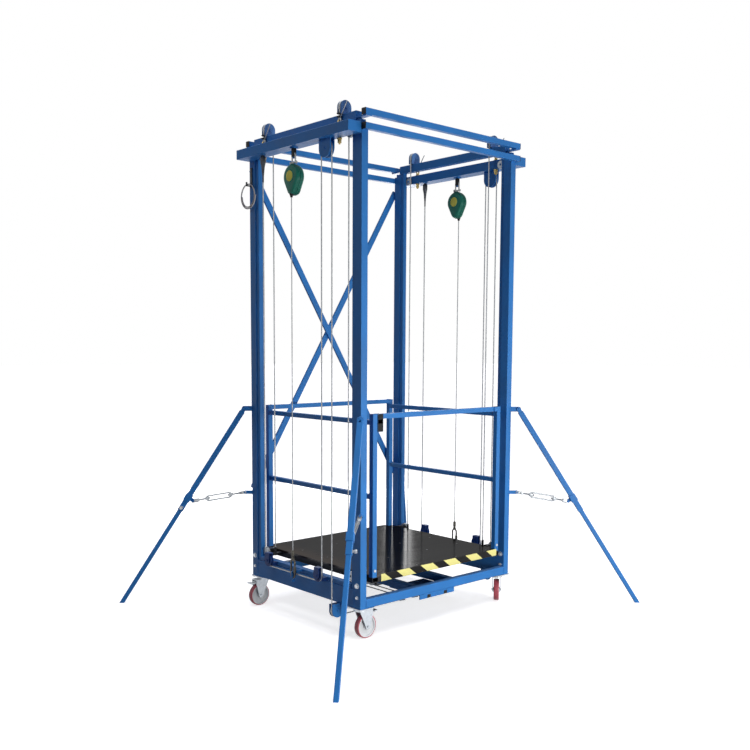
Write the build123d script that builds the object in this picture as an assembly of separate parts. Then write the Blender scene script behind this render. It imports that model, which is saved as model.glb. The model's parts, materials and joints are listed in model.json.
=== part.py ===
"""Electric lifting platform: a wheeled four-post tower with a telescoping inner mast.

Two hoist ropes raise the inner mast inside the outer posts. Four carriage ropes, fixed to
the outer frame and led over the head of the inner mast, raise the deck at the same rate
again. Millimetres, +Z up, origin on the floor in the middle of the tower, entrance at -Y.
"""
import math
import os

from build123d import *

# Tower and outer frame
frame_width = 1140.0
frame_depth = 950.0
base_height = 170.0
outer_post_top = 2550.0
outer_post_x = 40.0
outer_post_y = 50.0
post_wall = 4.0
tube_wall = 3.0
corner_radius = 3.0
outer_beam_width = 85.0
outer_beam_height = 50.0
side_beam_height = 95.0
cross_beam_width = 40.0
cross_beam_height = 45.0
bearer_width = 40.0
bearer_height = 40.0
bearer_offset = 135.0
tie_size = 30.0
tie_wall = 2.0
tie_below_top = 4.0
cap_thickness = 3.0
brace_width = 36.0
brace_thickness = 14.0
brace_top = 2460.0
brace_bottom = 670.0
brace_end_inset = 20.0
hanger_half_x = 14.0
hanger_half_y = 18.0
hanger_plate = 5.0
hanger_rod_r = 7.0
joint_sink = 1.0
cut_spare = 1.0

# Inner mast
slide_gap_x = 1.5
slide_gap_y = 5.0
inner_post_y = 67.0
inner_post_top = 2567.0
inner_beam_width = 40.0
inner_beam_height = 45.0
inner_beam_inset = 46.0
bottom_beam_width = 36.0
bottom_beam_height = 22.0
mast_rest_gap = 2.0
seat_lift = 10.0
seat_thickness = 6.0
hook_lug_t = 8.0
hook_lug_half = 10.0
hook_eye_r = 8.0
hook_arm_t = 12.0
hook_lug_foot = 18.0
seat_side_inset = 2.0

# Carriage
deck_inset = 85.0
deck_end_gap = 5.0
deck_rest_gap = 1.0
deck_frame_height = 28.0
deck_frame_tube = 40.0
deck_board = 12.0
board_fit = 0.5
deck_rib_count = 3
guard_tube = 30.0
guard_front_gap = 5.0
guard_rear_gap = 15.0
guard_height = 820.0
rail_tube = 25.0
side_rail_drop = 43.0
mid_rail_lift = 400.0
gate_drop = 13.0
gate_pin_r = 5.0
gate_pin_inset = 18.0
gate_rest_gap = 1.0
gate_end_gap = 4.0
gate_ear_gap = 1.5
gate_ear_t = 4.0
gate_ear_out = 9.0
gate_ear_half = 12.0
latch_height = 90.0
latch_length = 36.0
latch_wall = 4.0

# Ropes and sheaves
rope_d = 5.0
lanyard_d = 4.0
lanyard_plane = 58.0
rope_plane = 42.0
sheave_width = 16.0
rim_height = 3.5
seat_gap = 0.3
cheek_t = 4.0
cheek_gap = 2.0
cheek_margin = 3.0
sheave_hub_wall = 5.0
sheave_rim_wall = 4.0
sheave_web_inset = 4.0
sheave_slope = 1.0
sheave_lip = 2.0
pin_r = 6.0
pin_end = 4.0
bore_clear = 0.05
snatch_r = 41.0
snatch_v = 216.0
snatch_drop = 46.0
snatch_cheek_half = 45.0
lower_r = 30.0
lower_front_v = 287.0
lower_rear_v = 220.0
lower_lift = 11.0
lower_cheek_half = 20.0
lower_bridge_gap = 4.5
lower_bridge_t = 5.0
lower_arm_inset = 2.0
dead_end_drop = 55.0
dead_end_length = 85.0
base_sheave_r = 30.0
base_sheave_drop = 36.0
turn_r = 25.0
turn_left_x = -105.0
turn_right_x = -5.0
head_r = 30.0
head_v = 155.0
head_sheave_lift = 35.0
head_cheek_half = 34.0
eyebolt_r = 5.0
eyebolt_tail = 20.0
nut_r = 9.0
nut_t = 9.0
bolt_head_t = 6.0
dead_end_stud_r = 6.0
dead_end_small_r = 5.0
dead_end_large_r = 11.0
socket_r = 7.0
socket_length = 32.0
rope_lug_drop = 14.0
rope_lug_half = 12.0
rope_lug_out = 9.0
frame_bolt_lift = (56.0, 117.0)

# Winch
drum_core_r = 22.5
drum_flange_r = 40.0
drum_start_x = -100.0
drum_length = 90.0
drum_flange_t = 5.0
drum_y = 75.0
shaft_r = 9.0
bed_thickness = 6.0
bed_margin = 45.0
bed_front = 10.0
bed_side = 15.0
drum_side_gap = 3.0
pedestal_gap = 4.0
pedestal_t = 10.0
pedestal_half = 24.0
gearbox_x = 65.0
gearbox_y = 84.0
gearbox_height = 74.0
gearbox_gap = 5.0
gearbox_round = 8.0
shaft_end = 8.0
motor_r = 35.0
motor_length = 220.0
motor_fin_depth = 4.0
motor_fin_start = 20.0
motor_fin_spare = 60.0
motor_fin_count = 9
motor_fin_t = 8.0
motor_bed_gap = 2.0
terminal_start = 70.0
terminal_length = 60.0
terminal_half = 20.0
terminal_out = 22.0
gland_r = 8.0
gland_length = 14.0
guide_left = -150.0
guide_right = 113.0
guide_depth = 240.0
guide_lip = 26.0
guide_notches = (-82.0, 45.0)
notch_half = 13.0
notch_height = 13.0
turn_head_t = 5.0
turn_head_out = 5.0
turn_boss_out = 4.0
turn_gap = 1.0

# Rollers
mast_roller_r = 22.5
mast_roller_z = 2515.0
mast_roller_u = 6.0
mast_roller_width = 12.0
carriage_roller_r = 25.0
carriage_roller_lift = 30.0
carriage_roller_u = 21.0
carriage_roller_width = 13.0
roll_gap = 0.5
roller_arm_end = 38.0
roller_axle_r = 6.0
roller_arm_half = 12.0
roller_arm_rise = 14.0
roller_round = 1.5

# Fall arresters and their lanyards
arrester_v = 485.0
arrester_width = 120.0
arrester_crown_r = 24.0
arrester_foot_r = 31.0
arrester_belly = 102.0
arrester_thickness = 56.0
arrester_label_r = 31.0
arrester_height = 185.0
arrester_hang = 55.0
arrester_round = 17.0
hook_lug_drop = 41.0
hook_height = 152.0
hook_neck = 50.0
hook_width = 32.0
hook_wire_r = 3.5
hook_barrel_r = 9.0
hook_shoulder = 2.0
arrester_label_proud = 2.0

# Casters
caster_head = 45.0
wheel_width = 32.0
hub_r = 46.0
hub_width = 38.0
fork_gap = 40.0
fork_t = 4.0
crown_r = 34.0
crown_t = 7.0
race_r = 30.0
race_height = 8.0
caster_trail = 35.0
caster_u = 42.0
caster_v = 50.0
plate_x = 100.0
plate_y = 115.0
plate_t = 6.0
axle_r = 6.0
pedal_ahead = 24.0
pedal_below = 14.0
pedal_pin_r = 4.0
pedal_length = 42.0
pedal_arm_half = 14.0
pedal_tread_half = 22.0
pedal_tread = 22.0
pedal_half_t = 2.0
pedal_side_gap = 1.0
pedal_tread_t = 4.0
pedal_barrel = 3.5
plate_round = 8.0
king_nut_r = 11.0
king_nut_t = 8.0
fork_bridge = 5.0
fork_sink = 3.0
fork_back = 20.0
fork_ahead = 8.0
fork_boss_r = 15.0
axle_end = 5.0
hub_boss_r = 14.0
hub_web = 8.0
hub_rim = 8.0
tread_side = 2.0
tread_round = 6.0
caster_turn = {"fl": 0.0, "rl": 180.0, "fr": 40.0, "rr": 90.0}

# Outriggers
leg_pivot_z = 1132.0
leg_pivot_out = 30.0
leg_reach_x = 570.0
leg_reach_y = 505.0
leg_upper = 30.0
leg_lower = 24.0
leg_wall = 2.5
leg_upper_end_z = 545.0
leg_overlap = 350.0
leg_spare = 40.0
leg_nose = 14.0
leg_pin_r = 5.0
lug_t = 10.0
ear_t = 8.0
ear_gap = 0.6
collar_z = 618.0
collar_size = 38.0
collar_length = 40.0
collar_ear = 26.0
lock_pin_z = 562.0
leg_ear_half = 11.0
leg_ear_length = 30.0
leg_start = 8.0
lug_root = 12.0
lug_pin_end = 3.0
lock_stem_r = 5.0
lock_stem = 10.0
lock_knob_r = 9.0
lock_knob = 12.0
collar_nose = 10.0
collar_ear_half = 3.0
collar_pin_half = 11.0
turnbuckle_z = 650.0
turnbuckle_nose = 10.0
turnbuckle_pin_r = 4.0
open_pivot_gap = 2.5
yoke_length = 14.0
yoke_half = 7.0
yoke_rise = 17.0
frame_bar_r = 3.5
frame_bar_play = 0.2
frame_bar_inset = 3.0
jaw_half = 8.0
jaw_end = 36.0
jaw_plate = 4.0
rod_r = 5.0
rod_in_body = 18.0
hook_block_half = 9.0
hook_block_start = 31.0
hook_block_end = 21.0
hook_floor = 11.0
hook_reach = 10.0
body_near_gap = 78.0
body_far_gap = 76.0

# Rope coil on its hook
coil_rope_d = 7.0
coil_inner_r = 58.0
coil_growth = 4.2
coil_half_turns = 3
coil_out = 25.0
hook_v = 20.0
hook_arm_drop = 138.0
hook_back = 102.0
hook_bar = 6.0
hook_back_half = 8.0
hook_arm_half = 4.0
hook_tip = 22.0
hook_room = 3.0

half_w = frame_width / 2
half_d = frame_depth / 2
side_beam_top = base_height + side_beam_height
bottom_beam_z = side_beam_top + mast_rest_gap
bottom_beam_top = bottom_beam_z + bottom_beam_height
bottom_beam_face = (inner_beam_width - bottom_beam_width) / 2
wheel_r = (base_height - caster_head) / 2
deck_underside = bottom_beam_top + deck_rest_gap
carriage_roller_z = deck_underside + carriage_roller_lift
lower_z = bottom_beam_top + lower_lift
hook_lug_z = bottom_beam_top - hook_lug_drop
hook_top = hook_lug_z + hook_height
inner_post_x = outer_post_x - 2 * (post_wall + slide_gap_x)
inner_u = post_wall + slide_gap_x
inner_v = post_wall + slide_gap_y
inner_face_v = inner_v + inner_post_y
beam_bottom = outer_post_top - outer_beam_height
deck_frame_top = deck_underside + deck_frame_height
deck_top = deck_frame_top + deck_board
guard_top = deck_top + guard_height
mid_rail_mid = deck_top + mid_rail_lift
side_rail_mid = guard_top - side_rail_drop
gate_mid = guard_top - gate_drop
hook_arm_z = beam_bottom - hook_arm_drop
hook_back_top = hook_arm_z + hook_back
snatch_z = beam_bottom - snatch_drop
static_fall_v = snatch_v - snatch_r
base_sheave_z = base_height - base_sheave_drop
haul_z = base_sheave_z - base_sheave_r
head_u = inner_beam_width / 2
head_z = inner_post_top + inner_beam_height + head_sheave_lift
dead_end_v = lower_rear_v - lower_r
winch_z = haul_z + drum_core_r + rope_d / 2
SIDES = {"left": -1, "right": 1}
ENDS = {"front": -1, "rear": 1}
CORNERS = {"fl": (-1, -1), "fr": (1, -1), "rl": (-1, 1), "rr": (1, 1)}

os.makedirs("parts", exist_ok=True)


def at_x(side, u):
    """X of a point that lies u inside the outer face of a side."""
    return side * (half_w - u)


def at_y(end, v):
    """Y of a point that lies v inside the front or rear face."""
    return end * (half_d - v)


def block(x_pair, y_pair, z_pair):
    sizes = [abs(b - a) for a, b in (x_pair, y_pair, z_pair)]
    middle = [(a + b) / 2 for a, b in (x_pair, y_pair, z_pair)]
    return Pos(*middle) * Box(*sizes)


def corner_block(side, end, u_pair, v_pair, z_pair):
    xs = [at_x(side, u) for u in u_pair]
    ys = [at_y(end, v) for v in v_pair]
    return block(xs, ys, z_pair)


def rod(start, finish, radius):
    """Round bar between two points."""
    run = Vector(*finish) - Vector(*start)
    return extrude(Plane(origin=start, z_dir=run) * Circle(radius), run.length)


def tube(start, finish, width, depth, wall, across=(0, 0, 1)):
    """Rounded rectangular tube between two points, its width measured along across."""
    run = Vector(*finish) - Vector(*start)
    plane = Plane(origin=start, x_dir=across, z_dir=run)
    section = RectangleRounded(width, depth, corner_radius)
    if wall:
        bore = max(corner_radius - wall, 0.5)
        section -= RectangleRounded(width - 2 * wall, depth - 2 * wall, bore)
    return extrude(plane * section, run.length)


def save(name, shapes):
    """Write one node from a shape or a list of separate shapes."""
    listed = shapes if isinstance(shapes, list) else [shapes]
    solids = [solid for shape in listed for solid in shape.solids()]
    export_step(solids[0] if len(solids) == 1 else Compound(solids), f"parts/{name}.step")


def on_axis(shape, axis, place):
    """Move a shape made about Z onto an X, Y or Z axis through a place."""
    turn = {"x": Rot(0, 90, 0), "y": Rot(90, 0, 0), "z": Rot(0, 0, 0)}[axis]
    return Pos(*place) * turn * shape


def sheave(pitch_r, axis, place):
    """Grooved rope wheel whose groove seats the rope's centre on the pitch radius."""
    bore = pin_r + bore_clear
    half = sheave_width / 2
    rim = pitch_r + rim_height
    root = pitch_r - rope_d / 2 - seat_gap
    hub = bore + sheave_hub_wall
    web = half - sheave_web_inset
    ring = root - sheave_rim_wall
    right = [(bore, half), (hub, half), (hub + sheave_slope, web), (ring - sheave_slope, web), (ring, half),
             (rim, half), (rim, half - sheave_lip), (root, rope_d / 2 - sheave_slope / 2)]
    left = [(r, -z) for r, z in reversed(right)]
    face = make_face(Plane.XZ * Polyline(*right, *left, close=True))
    return on_axis(revolve(face, Axis.Z), axis, place)


def cheeks(half_width, reach, axis, place, up):
    """Two round-ended cheek plates with their pin; the plates run from the pin for reach."""
    inside = sheave_width / 2 + cheek_gap
    plate = extrude(Rectangle(2 * half_width, reach, align=(Align.CENTER, Align.MIN)), cheek_t)
    plate += extrude(Circle(half_width), cheek_t)
    pair = Pos(0, 0, inside) * plate + Pos(0, 0, -inside - cheek_t) * plate
    pair += Cylinder(pin_r, 2 * (inside + cheek_t + pin_end))
    normal = {"x": Vector(1, 0, 0), "y": Vector(0, 1, 0)}[axis]
    across = Vector(0, 0, up).cross(normal)
    frame = Plane(origin=place, x_dir=across, z_dir=normal)
    return frame.location * pair


# Outer posts: channels open towards the middle of each side, with the outrigger lugs and a rope hook
leg_out = Vector(leg_reach_x - leg_pivot_out, leg_reach_y - leg_pivot_out, 0)
leg_plan_reach = leg_out.length


def corner_frame(corner, z):
    """Frame at a corner's outrigger pivot line: X outward in plan, Z up."""
    side, end = CORNERS[corner]
    out = Vector(side * leg_out.X, end * leg_out.Y, 0).normalized()
    origin = (at_x(side, -leg_pivot_out), at_y(end, -leg_pivot_out), z)
    return Plane(origin=origin, x_dir=out, z_dir=(0, 0, 1)).location


def pivot_lug(corner, z, nose, pin_radius):
    """Plate welded on the post's corner, with a round nose and the pivot pin in it."""
    root = math.hypot(leg_pivot_out, leg_pivot_out) + lug_root
    plate = block((-root, 0), (-lug_t / 2, lug_t / 2), (-nose, nose))
    plate += Rot(90, 0, 0) * Cylinder(nose, lug_t)
    plate += Rot(90, 0, 0) * Cylinder(pin_radius, lug_t + 2 * (ear_gap + ear_t + lug_pin_end))
    side, end = CORNERS[corner]
    post = corner_block(side, end, (0, outer_post_x), (0, outer_post_y), (base_height, outer_post_top))
    return corner_frame(corner, z) * plate - post


outer_posts = []
for corner, (side, end) in CORNERS.items():
    skin = corner_block(side, end, (0, outer_post_x), (0, outer_post_y), (base_height, outer_post_top))
    hollow = corner_block(side, end, (post_wall, outer_post_x - post_wall),
                          (post_wall, outer_post_y + cut_spare),
                          (base_height - cut_spare, outer_post_top + cut_spare))
    outer_posts.append(skin - hollow)
    outer_posts.append(pivot_lug(corner, leg_pivot_z, leg_nose, leg_pin_r))
    outer_posts.append(pivot_lug(corner, turnbuckle_z, turnbuckle_nose, turnbuckle_pin_r))
post_face = at_x(-1, 0)
hook_y = at_y(1, hook_v)
back_ys = (hook_y - hook_back_half, hook_y + hook_back_half)
arm_ys = (hook_y - hook_arm_half, hook_y + hook_arm_half)
hook = block((post_face, post_face - hook_bar), back_ys, (hook_arm_z, hook_back_top))
arm_end = post_face - coil_out - coil_rope_d / 2 - hook_room
hook += block((post_face, arm_end - hook_bar), arm_ys, (hook_arm_z, hook_arm_z + hook_bar))
hook += block((arm_end, arm_end - hook_bar), arm_ys, (hook_arm_z, hook_arm_z + hook_tip))
outer_posts.append(hook)
save("outer_posts", outer_posts)

# Outer top beams with end plates, drilled for the eyebolts, with roller stubs and arrester hangers
mast_roller_v = inner_face_v + roll_gap + mast_roller_r
eyebolt_u = head_u - head_r
outer_top_beams = []
for side in SIDES.values():
    beam_x = at_x(side, -outer_beam_width / 2)
    beam_z = outer_post_top - outer_beam_height / 2
    tube_y = half_d - tube_wall
    beam = tube((beam_x, -tube_y, beam_z), (beam_x, tube_y, beam_z),
                outer_beam_height, outer_beam_width, tube_wall)
    for end in ENDS.values():
        outer_top_beams.append(tube((beam_x, end * tube_y, beam_z), (beam_x, end * half_d, beam_z),
                                    outer_beam_height, outer_beam_width, 0))
        bolt_spot = (at_x(side, eyebolt_u), at_y(end, head_v))
        beam -= rod((*bolt_spot, beam_bottom - cut_spare), (*bolt_spot, outer_post_top + cut_spare),
                    eyebolt_r + bore_clear)
        stub_y = at_y(end, mast_roller_v)
        stub_end = mast_roller_u + mast_roller_width + joint_sink
        outer_top_beams.append(rod((at_x(side, 0), stub_y, mast_roller_z),
                                   (at_x(side, stub_end), stub_y, mast_roller_z), roller_axle_r))
    outer_top_beams.append(beam)
    hang_x = at_x(side, -rope_plane)
    hang_y = at_y(-1, arrester_v)
    hanger = block((hang_x - hanger_half_x, hang_x + hanger_half_x),
                   (hang_y - hanger_half_y, hang_y + hanger_half_y),
                   (beam_bottom - hanger_plate, beam_bottom))
    hanger += rod((hang_x, hang_y, beam_bottom - arrester_hang),
                  (hang_x, hang_y, beam_bottom - hanger_plate + joint_sink), hanger_rod_r)
    outer_top_beams.append(hanger)
save("outer_top_beams", outer_top_beams)


def capped_tie(end, z):
    """Square tie rail across the outside of one end, with a plug on each open end."""
    y = at_y(end, -tie_size / 2)
    pieces = [tube((-half_w, y, z), (half_w, y, z), tie_size, tie_size, tie_wall)]
    for side in SIDES.values():
        pieces.append(tube((side * half_w, y, z), (side * (half_w + cap_thickness), y, z),
                           tie_size, tie_size, 0))
    return pieces


# Lower tie rails on the front and rear faces, and the crossed braces on the rear face
ties_and_braces = []
for end in ENDS.values():
    ties_and_braces += capped_tie(end, outer_post_top - tie_below_top - tie_size / 2)
brace_x = half_w - brace_end_inset
for order, lean in enumerate((-1, 1)):
    y = half_d + brace_thickness * (order + 0.5)
    run = Vector(-2 * lean * brace_x, 0, brace_bottom - brace_top)
    across = run.cross(Vector(0, 1, 0))
    bar = tube((lean * brace_x, y, brace_top), (-lean * brace_x, y, brace_bottom),
               brace_width, brace_thickness, 0, across=across)
    ties_and_braces.append(bar)
save("ties_and_braces", ties_and_braces)

# Base beams: deep side beams between the posts, cross beams and two bearers
base_beams = []
side_y = half_d - outer_post_y
side_z = base_height + side_beam_height / 2
cross_z = base_height + cross_beam_height / 2
cross_x = half_w - outer_post_x
bearer_y = half_d - cross_beam_width
bearer_z = base_height + bearer_height / 2
for sign in (-1, 1):
    side_x = at_x(sign, outer_post_x / 2)
    base_beams.append(tube((side_x, -side_y, side_z), (side_x, side_y, side_z),
                           side_beam_height, outer_post_x, tube_wall))
    cross_y = at_y(sign, cross_beam_width / 2)
    base_beams.append(tube((-cross_x, cross_y, cross_z), (cross_x, cross_y, cross_z),
                           cross_beam_height, cross_beam_width, tube_wall))
    bearer_x = sign * bearer_offset
    base_beams.append(tube((bearer_x, -bearer_y, bearer_z), (bearer_x, bearer_y, bearer_z),
                           bearer_height, bearer_width, tube_wall))
save("base_beams", base_beams)

# Inner mast: four posts, the top and bottom side beams, and the upper tie rails on seats
inner_posts = []
for side, end in CORNERS.values():
    mid_x = at_x(side, inner_u + inner_post_x / 2)
    mid_y = at_y(end, inner_v + inner_post_y / 2)
    inner_posts.append(tube((mid_x, mid_y, bottom_beam_z), (mid_x, mid_y, inner_post_top),
                            inner_post_x, inner_post_y, tube_wall, across=(1, 0, 0)))
save("inner_posts", inner_posts)

inner_beams = []
for side in SIDES.values():
    mid_x = at_x(side, inner_beam_width / 2)
    top_z = inner_post_top + inner_beam_height / 2
    top_y = half_d - inner_beam_inset
    tube_y = top_y - tube_wall
    inner_beams.append(tube((mid_x, -tube_y, top_z), (mid_x, tube_y, top_z),
                            inner_beam_height, inner_beam_width, tube_wall))
    for end in ENDS.values():
        inner_beams.append(tube((mid_x, end * tube_y, top_z), (mid_x, end * top_y, top_z),
                                inner_beam_height, inner_beam_width, 0))
    low_z = bottom_beam_z + bottom_beam_height / 2
    low_y = half_d - inner_face_v
    inner_beams.append(tube((mid_x, -low_y, low_z), (mid_x, low_y, low_z),
                            bottom_beam_height, bottom_beam_width, tube_wall))
    lug_y = at_y(-1, arrester_v)
    lug_x = at_x(side, -lanyard_plane)
    lug_ys = (lug_y - hook_lug_t / 2, lug_y + hook_lug_t / 2)
    lug_out = lug_x + side * hook_lug_half
    lug_in = lug_x - side * hook_lug_half
    arm_top = bottom_beam_top - joint_sink
    arm = block((at_x(side, bottom_beam_face), lug_out), lug_ys, (arm_top - hook_arm_t, arm_top))
    arm += block((lug_in, lug_out), lug_ys, (hook_lug_z - hook_lug_foot, arm_top))
    arm -= rod((lug_x, lug_y - hook_lug_t, hook_lug_z), (lug_x, lug_y + hook_lug_t, hook_lug_z), hook_eye_r)
    inner_beams.append(arm)
save("inner_beams", inner_beams)

inner_ties = []
seat_z = inner_post_top + seat_lift
for end in ENDS.values():
    inner_ties += capped_tie(end, seat_z + seat_thickness + tie_size / 2)
    for side in SIDES.values():
        seat_us = (seat_side_inset, inner_beam_width - seat_side_inset)
        inner_ties.append(corner_block(side, end, seat_us, (-tie_size, inner_beam_inset),
                                       (seat_z, seat_z + seat_thickness)))
save("inner_tie_rails", inner_ties)

# Carriage: tube deck frame with roller arms and rope lugs, then the deck board
carriage_roller_v = inner_face_v + roll_gap + carriage_roller_r
deck_x = half_w - deck_inset
deck_y = half_d - deck_end_gap
frame_mid = deck_underside + deck_frame_height / 2
deck_frame = []
for sign in (-1, 1):
    tube_x = sign * (deck_x - deck_frame_tube / 2)
    deck_frame.append(tube((tube_x, -deck_y, frame_mid), (tube_x, deck_y, frame_mid),
                           deck_frame_height, deck_frame_tube, tube_wall))
rib_x = deck_x - deck_frame_tube
rib_step = (2 * deck_y - deck_frame_tube) / (deck_rib_count + 1)
for index in range(deck_rib_count + 2):
    rib_y = -deck_y + deck_frame_tube / 2 + index * rib_step
    deck_frame.append(tube((-rib_x, rib_y, frame_mid), (rib_x, rib_y, frame_mid),
                           deck_frame_height, deck_frame_tube, tube_wall))
rope_u = head_u + head_r
for side, end in CORNERS.values():
    spot_y = at_y(end, carriage_roller_v)
    arm_vs = (carriage_roller_v - roller_arm_half, carriage_roller_v + roller_arm_half)
    arm = corner_block(side, end, (roller_arm_end, deck_inset), arm_vs,
                       (deck_underside, carriage_roller_z + roller_arm_rise))
    arm += rod((at_x(side, roller_arm_end + joint_sink), spot_y, carriage_roller_z),
               (at_x(side, carriage_roller_u), spot_y, carriage_roller_z), roller_axle_r)
    deck_frame.append(arm)
    lug_vs = (head_v - rope_lug_half, head_v + rope_lug_half)
    lug = corner_block(side, end, (rope_u - rope_lug_out, deck_inset), lug_vs,
                       (deck_frame_top - rope_lug_drop, deck_frame_top))
    lug_spot = (at_x(side, rope_u), at_y(end, head_v))
    lug += rod((*lug_spot, deck_frame_top - joint_sink), (*lug_spot, deck_frame_top + socket_length),
               socket_r)
    deck_frame.append(lug)
save("deck_frame", deck_frame)

# The board's corners are cut out round the guard uprights, which stand on the deck frame
guard_gap = {-1: guard_front_gap, 1: guard_rear_gap}
board = block((-deck_x, deck_x), (-deck_y, deck_y), (deck_frame_top, deck_top))
for side, end in CORNERS.values():
    board -= corner_block(side, end, (deck_inset - cut_spare, deck_inset + guard_tube + board_fit),
                          (deck_end_gap - cut_spare, guard_gap[end] + guard_tube + board_fit),
                          (deck_frame_top - cut_spare, deck_top + cut_spare))
save("deck_board", board)

# Guard rails: uprights at the deck corners, two rails on each side, one at the rear
guards = []
upright_u = deck_inset + guard_tube / 2
guard_y = {end: at_y(end, guard_gap[end] + guard_tube / 2) for end in ENDS.values()}
inside_x = half_w - deck_inset - guard_tube
for side in SIDES.values():
    upright_x = at_x(side, upright_u)
    for end in ENDS.values():
        guards.append(tube((upright_x, guard_y[end], deck_frame_top), (upright_x, guard_y[end], guard_top),
                           guard_tube, guard_tube, tie_wall, across=(1, 0, 0)))
    for rail_z in (side_rail_mid, mid_rail_mid):
        guards.append(tube((upright_x, guard_y[-1] + guard_tube / 2, rail_z),
                           (upright_x, guard_y[1] - guard_tube / 2, rail_z), rail_tube, rail_tube, tie_wall))
guards.append(tube((-inside_x, guard_y[1], gate_mid), (inside_x, guard_y[1], gate_mid),
                   rail_tube, rail_tube, tie_wall))
gate_y = guard_y[-1]
gate_pin_x = inside_x - gate_pin_inset
ear_y = rail_tube / 2 + gate_ear_gap
ear_out_y = ear_y + gate_ear_t
hinge = rod((gate_pin_x, gate_y - ear_out_y, gate_mid), (gate_pin_x, gate_y + ear_out_y, gate_mid),
            gate_pin_r)
for sign in (-1, 1):
    hinge += block((gate_pin_x - gate_ear_out, inside_x), (gate_y + sign * ear_y, gate_y + sign * ear_out_y),
                   (gate_mid - gate_ear_half, gate_mid + gate_ear_half))
guards.append(hinge)
latch_y = rail_tube / 2 + gate_rest_gap
latch_out = latch_y + latch_wall
latch = block((-inside_x, -inside_x + latch_length), (gate_y - latch_out, gate_y + latch_out),
              (guard_top - latch_height, guard_top))
latch -= block((-inside_x + latch_wall, inside_x), (gate_y - latch_y, gate_y + latch_y),
               (gate_mid - rail_tube / 2 - gate_rest_gap, guard_top + cut_spare))
guards.append(latch)
save("guard_rails", guards)

gate_left = -inside_x + latch_wall + gate_end_gap
gate_half = rail_tube / 2
gate = block((gate_left, gate_pin_x + gate_half), (gate_y - gate_half, gate_y + gate_half),
             (gate_mid - gate_half, gate_mid + gate_half))
gate = fillet(gate.edges().filter_by(Axis.Y).group_by(Axis.X)[-1], gate_half - 0.5)
gate = fillet(gate.faces().sort_by(Axis.X)[0].edges(), corner_radius - 1)
gate -= rod((gate_pin_x, gate_y - rail_tube, gate_mid), (gate_pin_x, gate_y + rail_tube, gate_mid),
            gate_pin_r + bore_clear)
save("gate_bar", gate)

# Guide rollers, in left and right pairs on common axes
roller_kinds = {
    "mast": (mast_roller_r, mast_roller_u, mast_roller_width, mast_roller_v, mast_roller_z),
    "carriage": (carriage_roller_r, carriage_roller_u, carriage_roller_width,
                 carriage_roller_v, carriage_roller_z),
}
for label, (radius, u, width, v, z) in roller_kinds.items():
    wheel = chamfer(Cylinder(radius, width).edges().filter_by(GeomType.CIRCLE), roller_round)
    wheel -= Cylinder(roller_axle_r + bore_clear, width)
    for name, end in ENDS.items():
        pair = [on_axis(wheel, "x", (at_x(side, u + width / 2), at_y(end, v), z)) for side in SIDES.values()]
        save(f"{name}_{label}_rollers", pair)

# Rope sheaves
turn_y = at_y(-1, static_fall_v) + turn_r
turn_x = {-1: turn_left_x, 1: turn_right_x}
base_u = -rope_plane + base_sheave_r
x_sheaves = {
    "snatch_sheaves": (snatch_r, -1, snatch_v, snatch_z),
    "lower_front_sheaves": (lower_r, -1, lower_front_v, lower_z),
    "lower_rear_sheaves": (lower_r, 1, lower_rear_v, lower_z),
}
for name, (radius, end, v, z) in x_sheaves.items():
    save(name, [sheave(radius, "x", (at_x(side, -rope_plane), at_y(end, v), z)) for side in SIDES.values()])
for name, side in SIDES.items():
    base_spot = (at_x(side, base_u), at_y(-1, static_fall_v), base_sheave_z)
    save(f"base_sheave_{name}", sheave(base_sheave_r, "y", base_spot))
    save(f"turning_sheave_{name}", sheave(turn_r, "z", (turn_x[side], turn_y, haul_z)))
    head_spots = [(at_x(side, head_u), at_y(end, head_v), head_z) for end in ENDS.values()]
    save(f"{name}_head_sheaves", [sheave(head_r, "y", spot) for spot in head_spots])

# Fixed blocks: snatch blocks under the top beams, base blocks under the side beams
fixed_blocks = []
for side in SIDES.values():
    snatch_spot = (at_x(side, -rope_plane), at_y(-1, snatch_v), snatch_z)
    fixed_blocks.append(cheeks(snatch_cheek_half, snatch_drop, "x", snatch_spot, 1))
    base_half = base_sheave_r + rim_height + cheek_margin
    base_spot = (at_x(side, base_u), at_y(-1, static_fall_v), base_sheave_z)
    fixed_blocks.append(cheeks(base_half, base_sheave_drop, "y", base_spot, 1))
save("fixed_blocks", fixed_blocks)

# Blocks on the inner mast: head blocks on the top beams, lower blocks beside the bottom beams
mast_blocks = []
inside = sheave_width / 2 + cheek_gap
bridge_z = lower_z + lower_r + rim_height + lower_bridge_gap
for side, end in CORNERS.values():
    head_spot = (at_x(side, head_u), at_y(end, head_v), head_z)
    mast_blocks.append(cheeks(head_cheek_half, head_sheave_lift, "y", head_spot, -1))
    v = lower_front_v if end < 0 else lower_rear_v
    x, y = at_x(side, -rope_plane), at_y(end, v)
    y_pair = (y - lower_cheek_half, y + lower_cheek_half)
    low_block = cheeks(lower_cheek_half, bridge_z - lower_z, "x", (x, y, lower_z), 1)
    low_block += block((x - inside - cheek_t, x + inside + cheek_t), y_pair,
                       (bridge_z, bridge_z + lower_bridge_t))
    low_block += block((x - side * (inside + cheek_t), at_x(side, bottom_beam_face)), y_pair,
                       (bottom_beam_z + lower_arm_inset, bottom_beam_top - lower_arm_inset))
    low_block += block((x - side * inside, x - side * (inside + cheek_t)), y_pair,
                       (bottom_beam_z + lower_arm_inset, lower_z))
    mast_blocks.append(low_block)
save("mast_blocks", mast_blocks)

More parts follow.
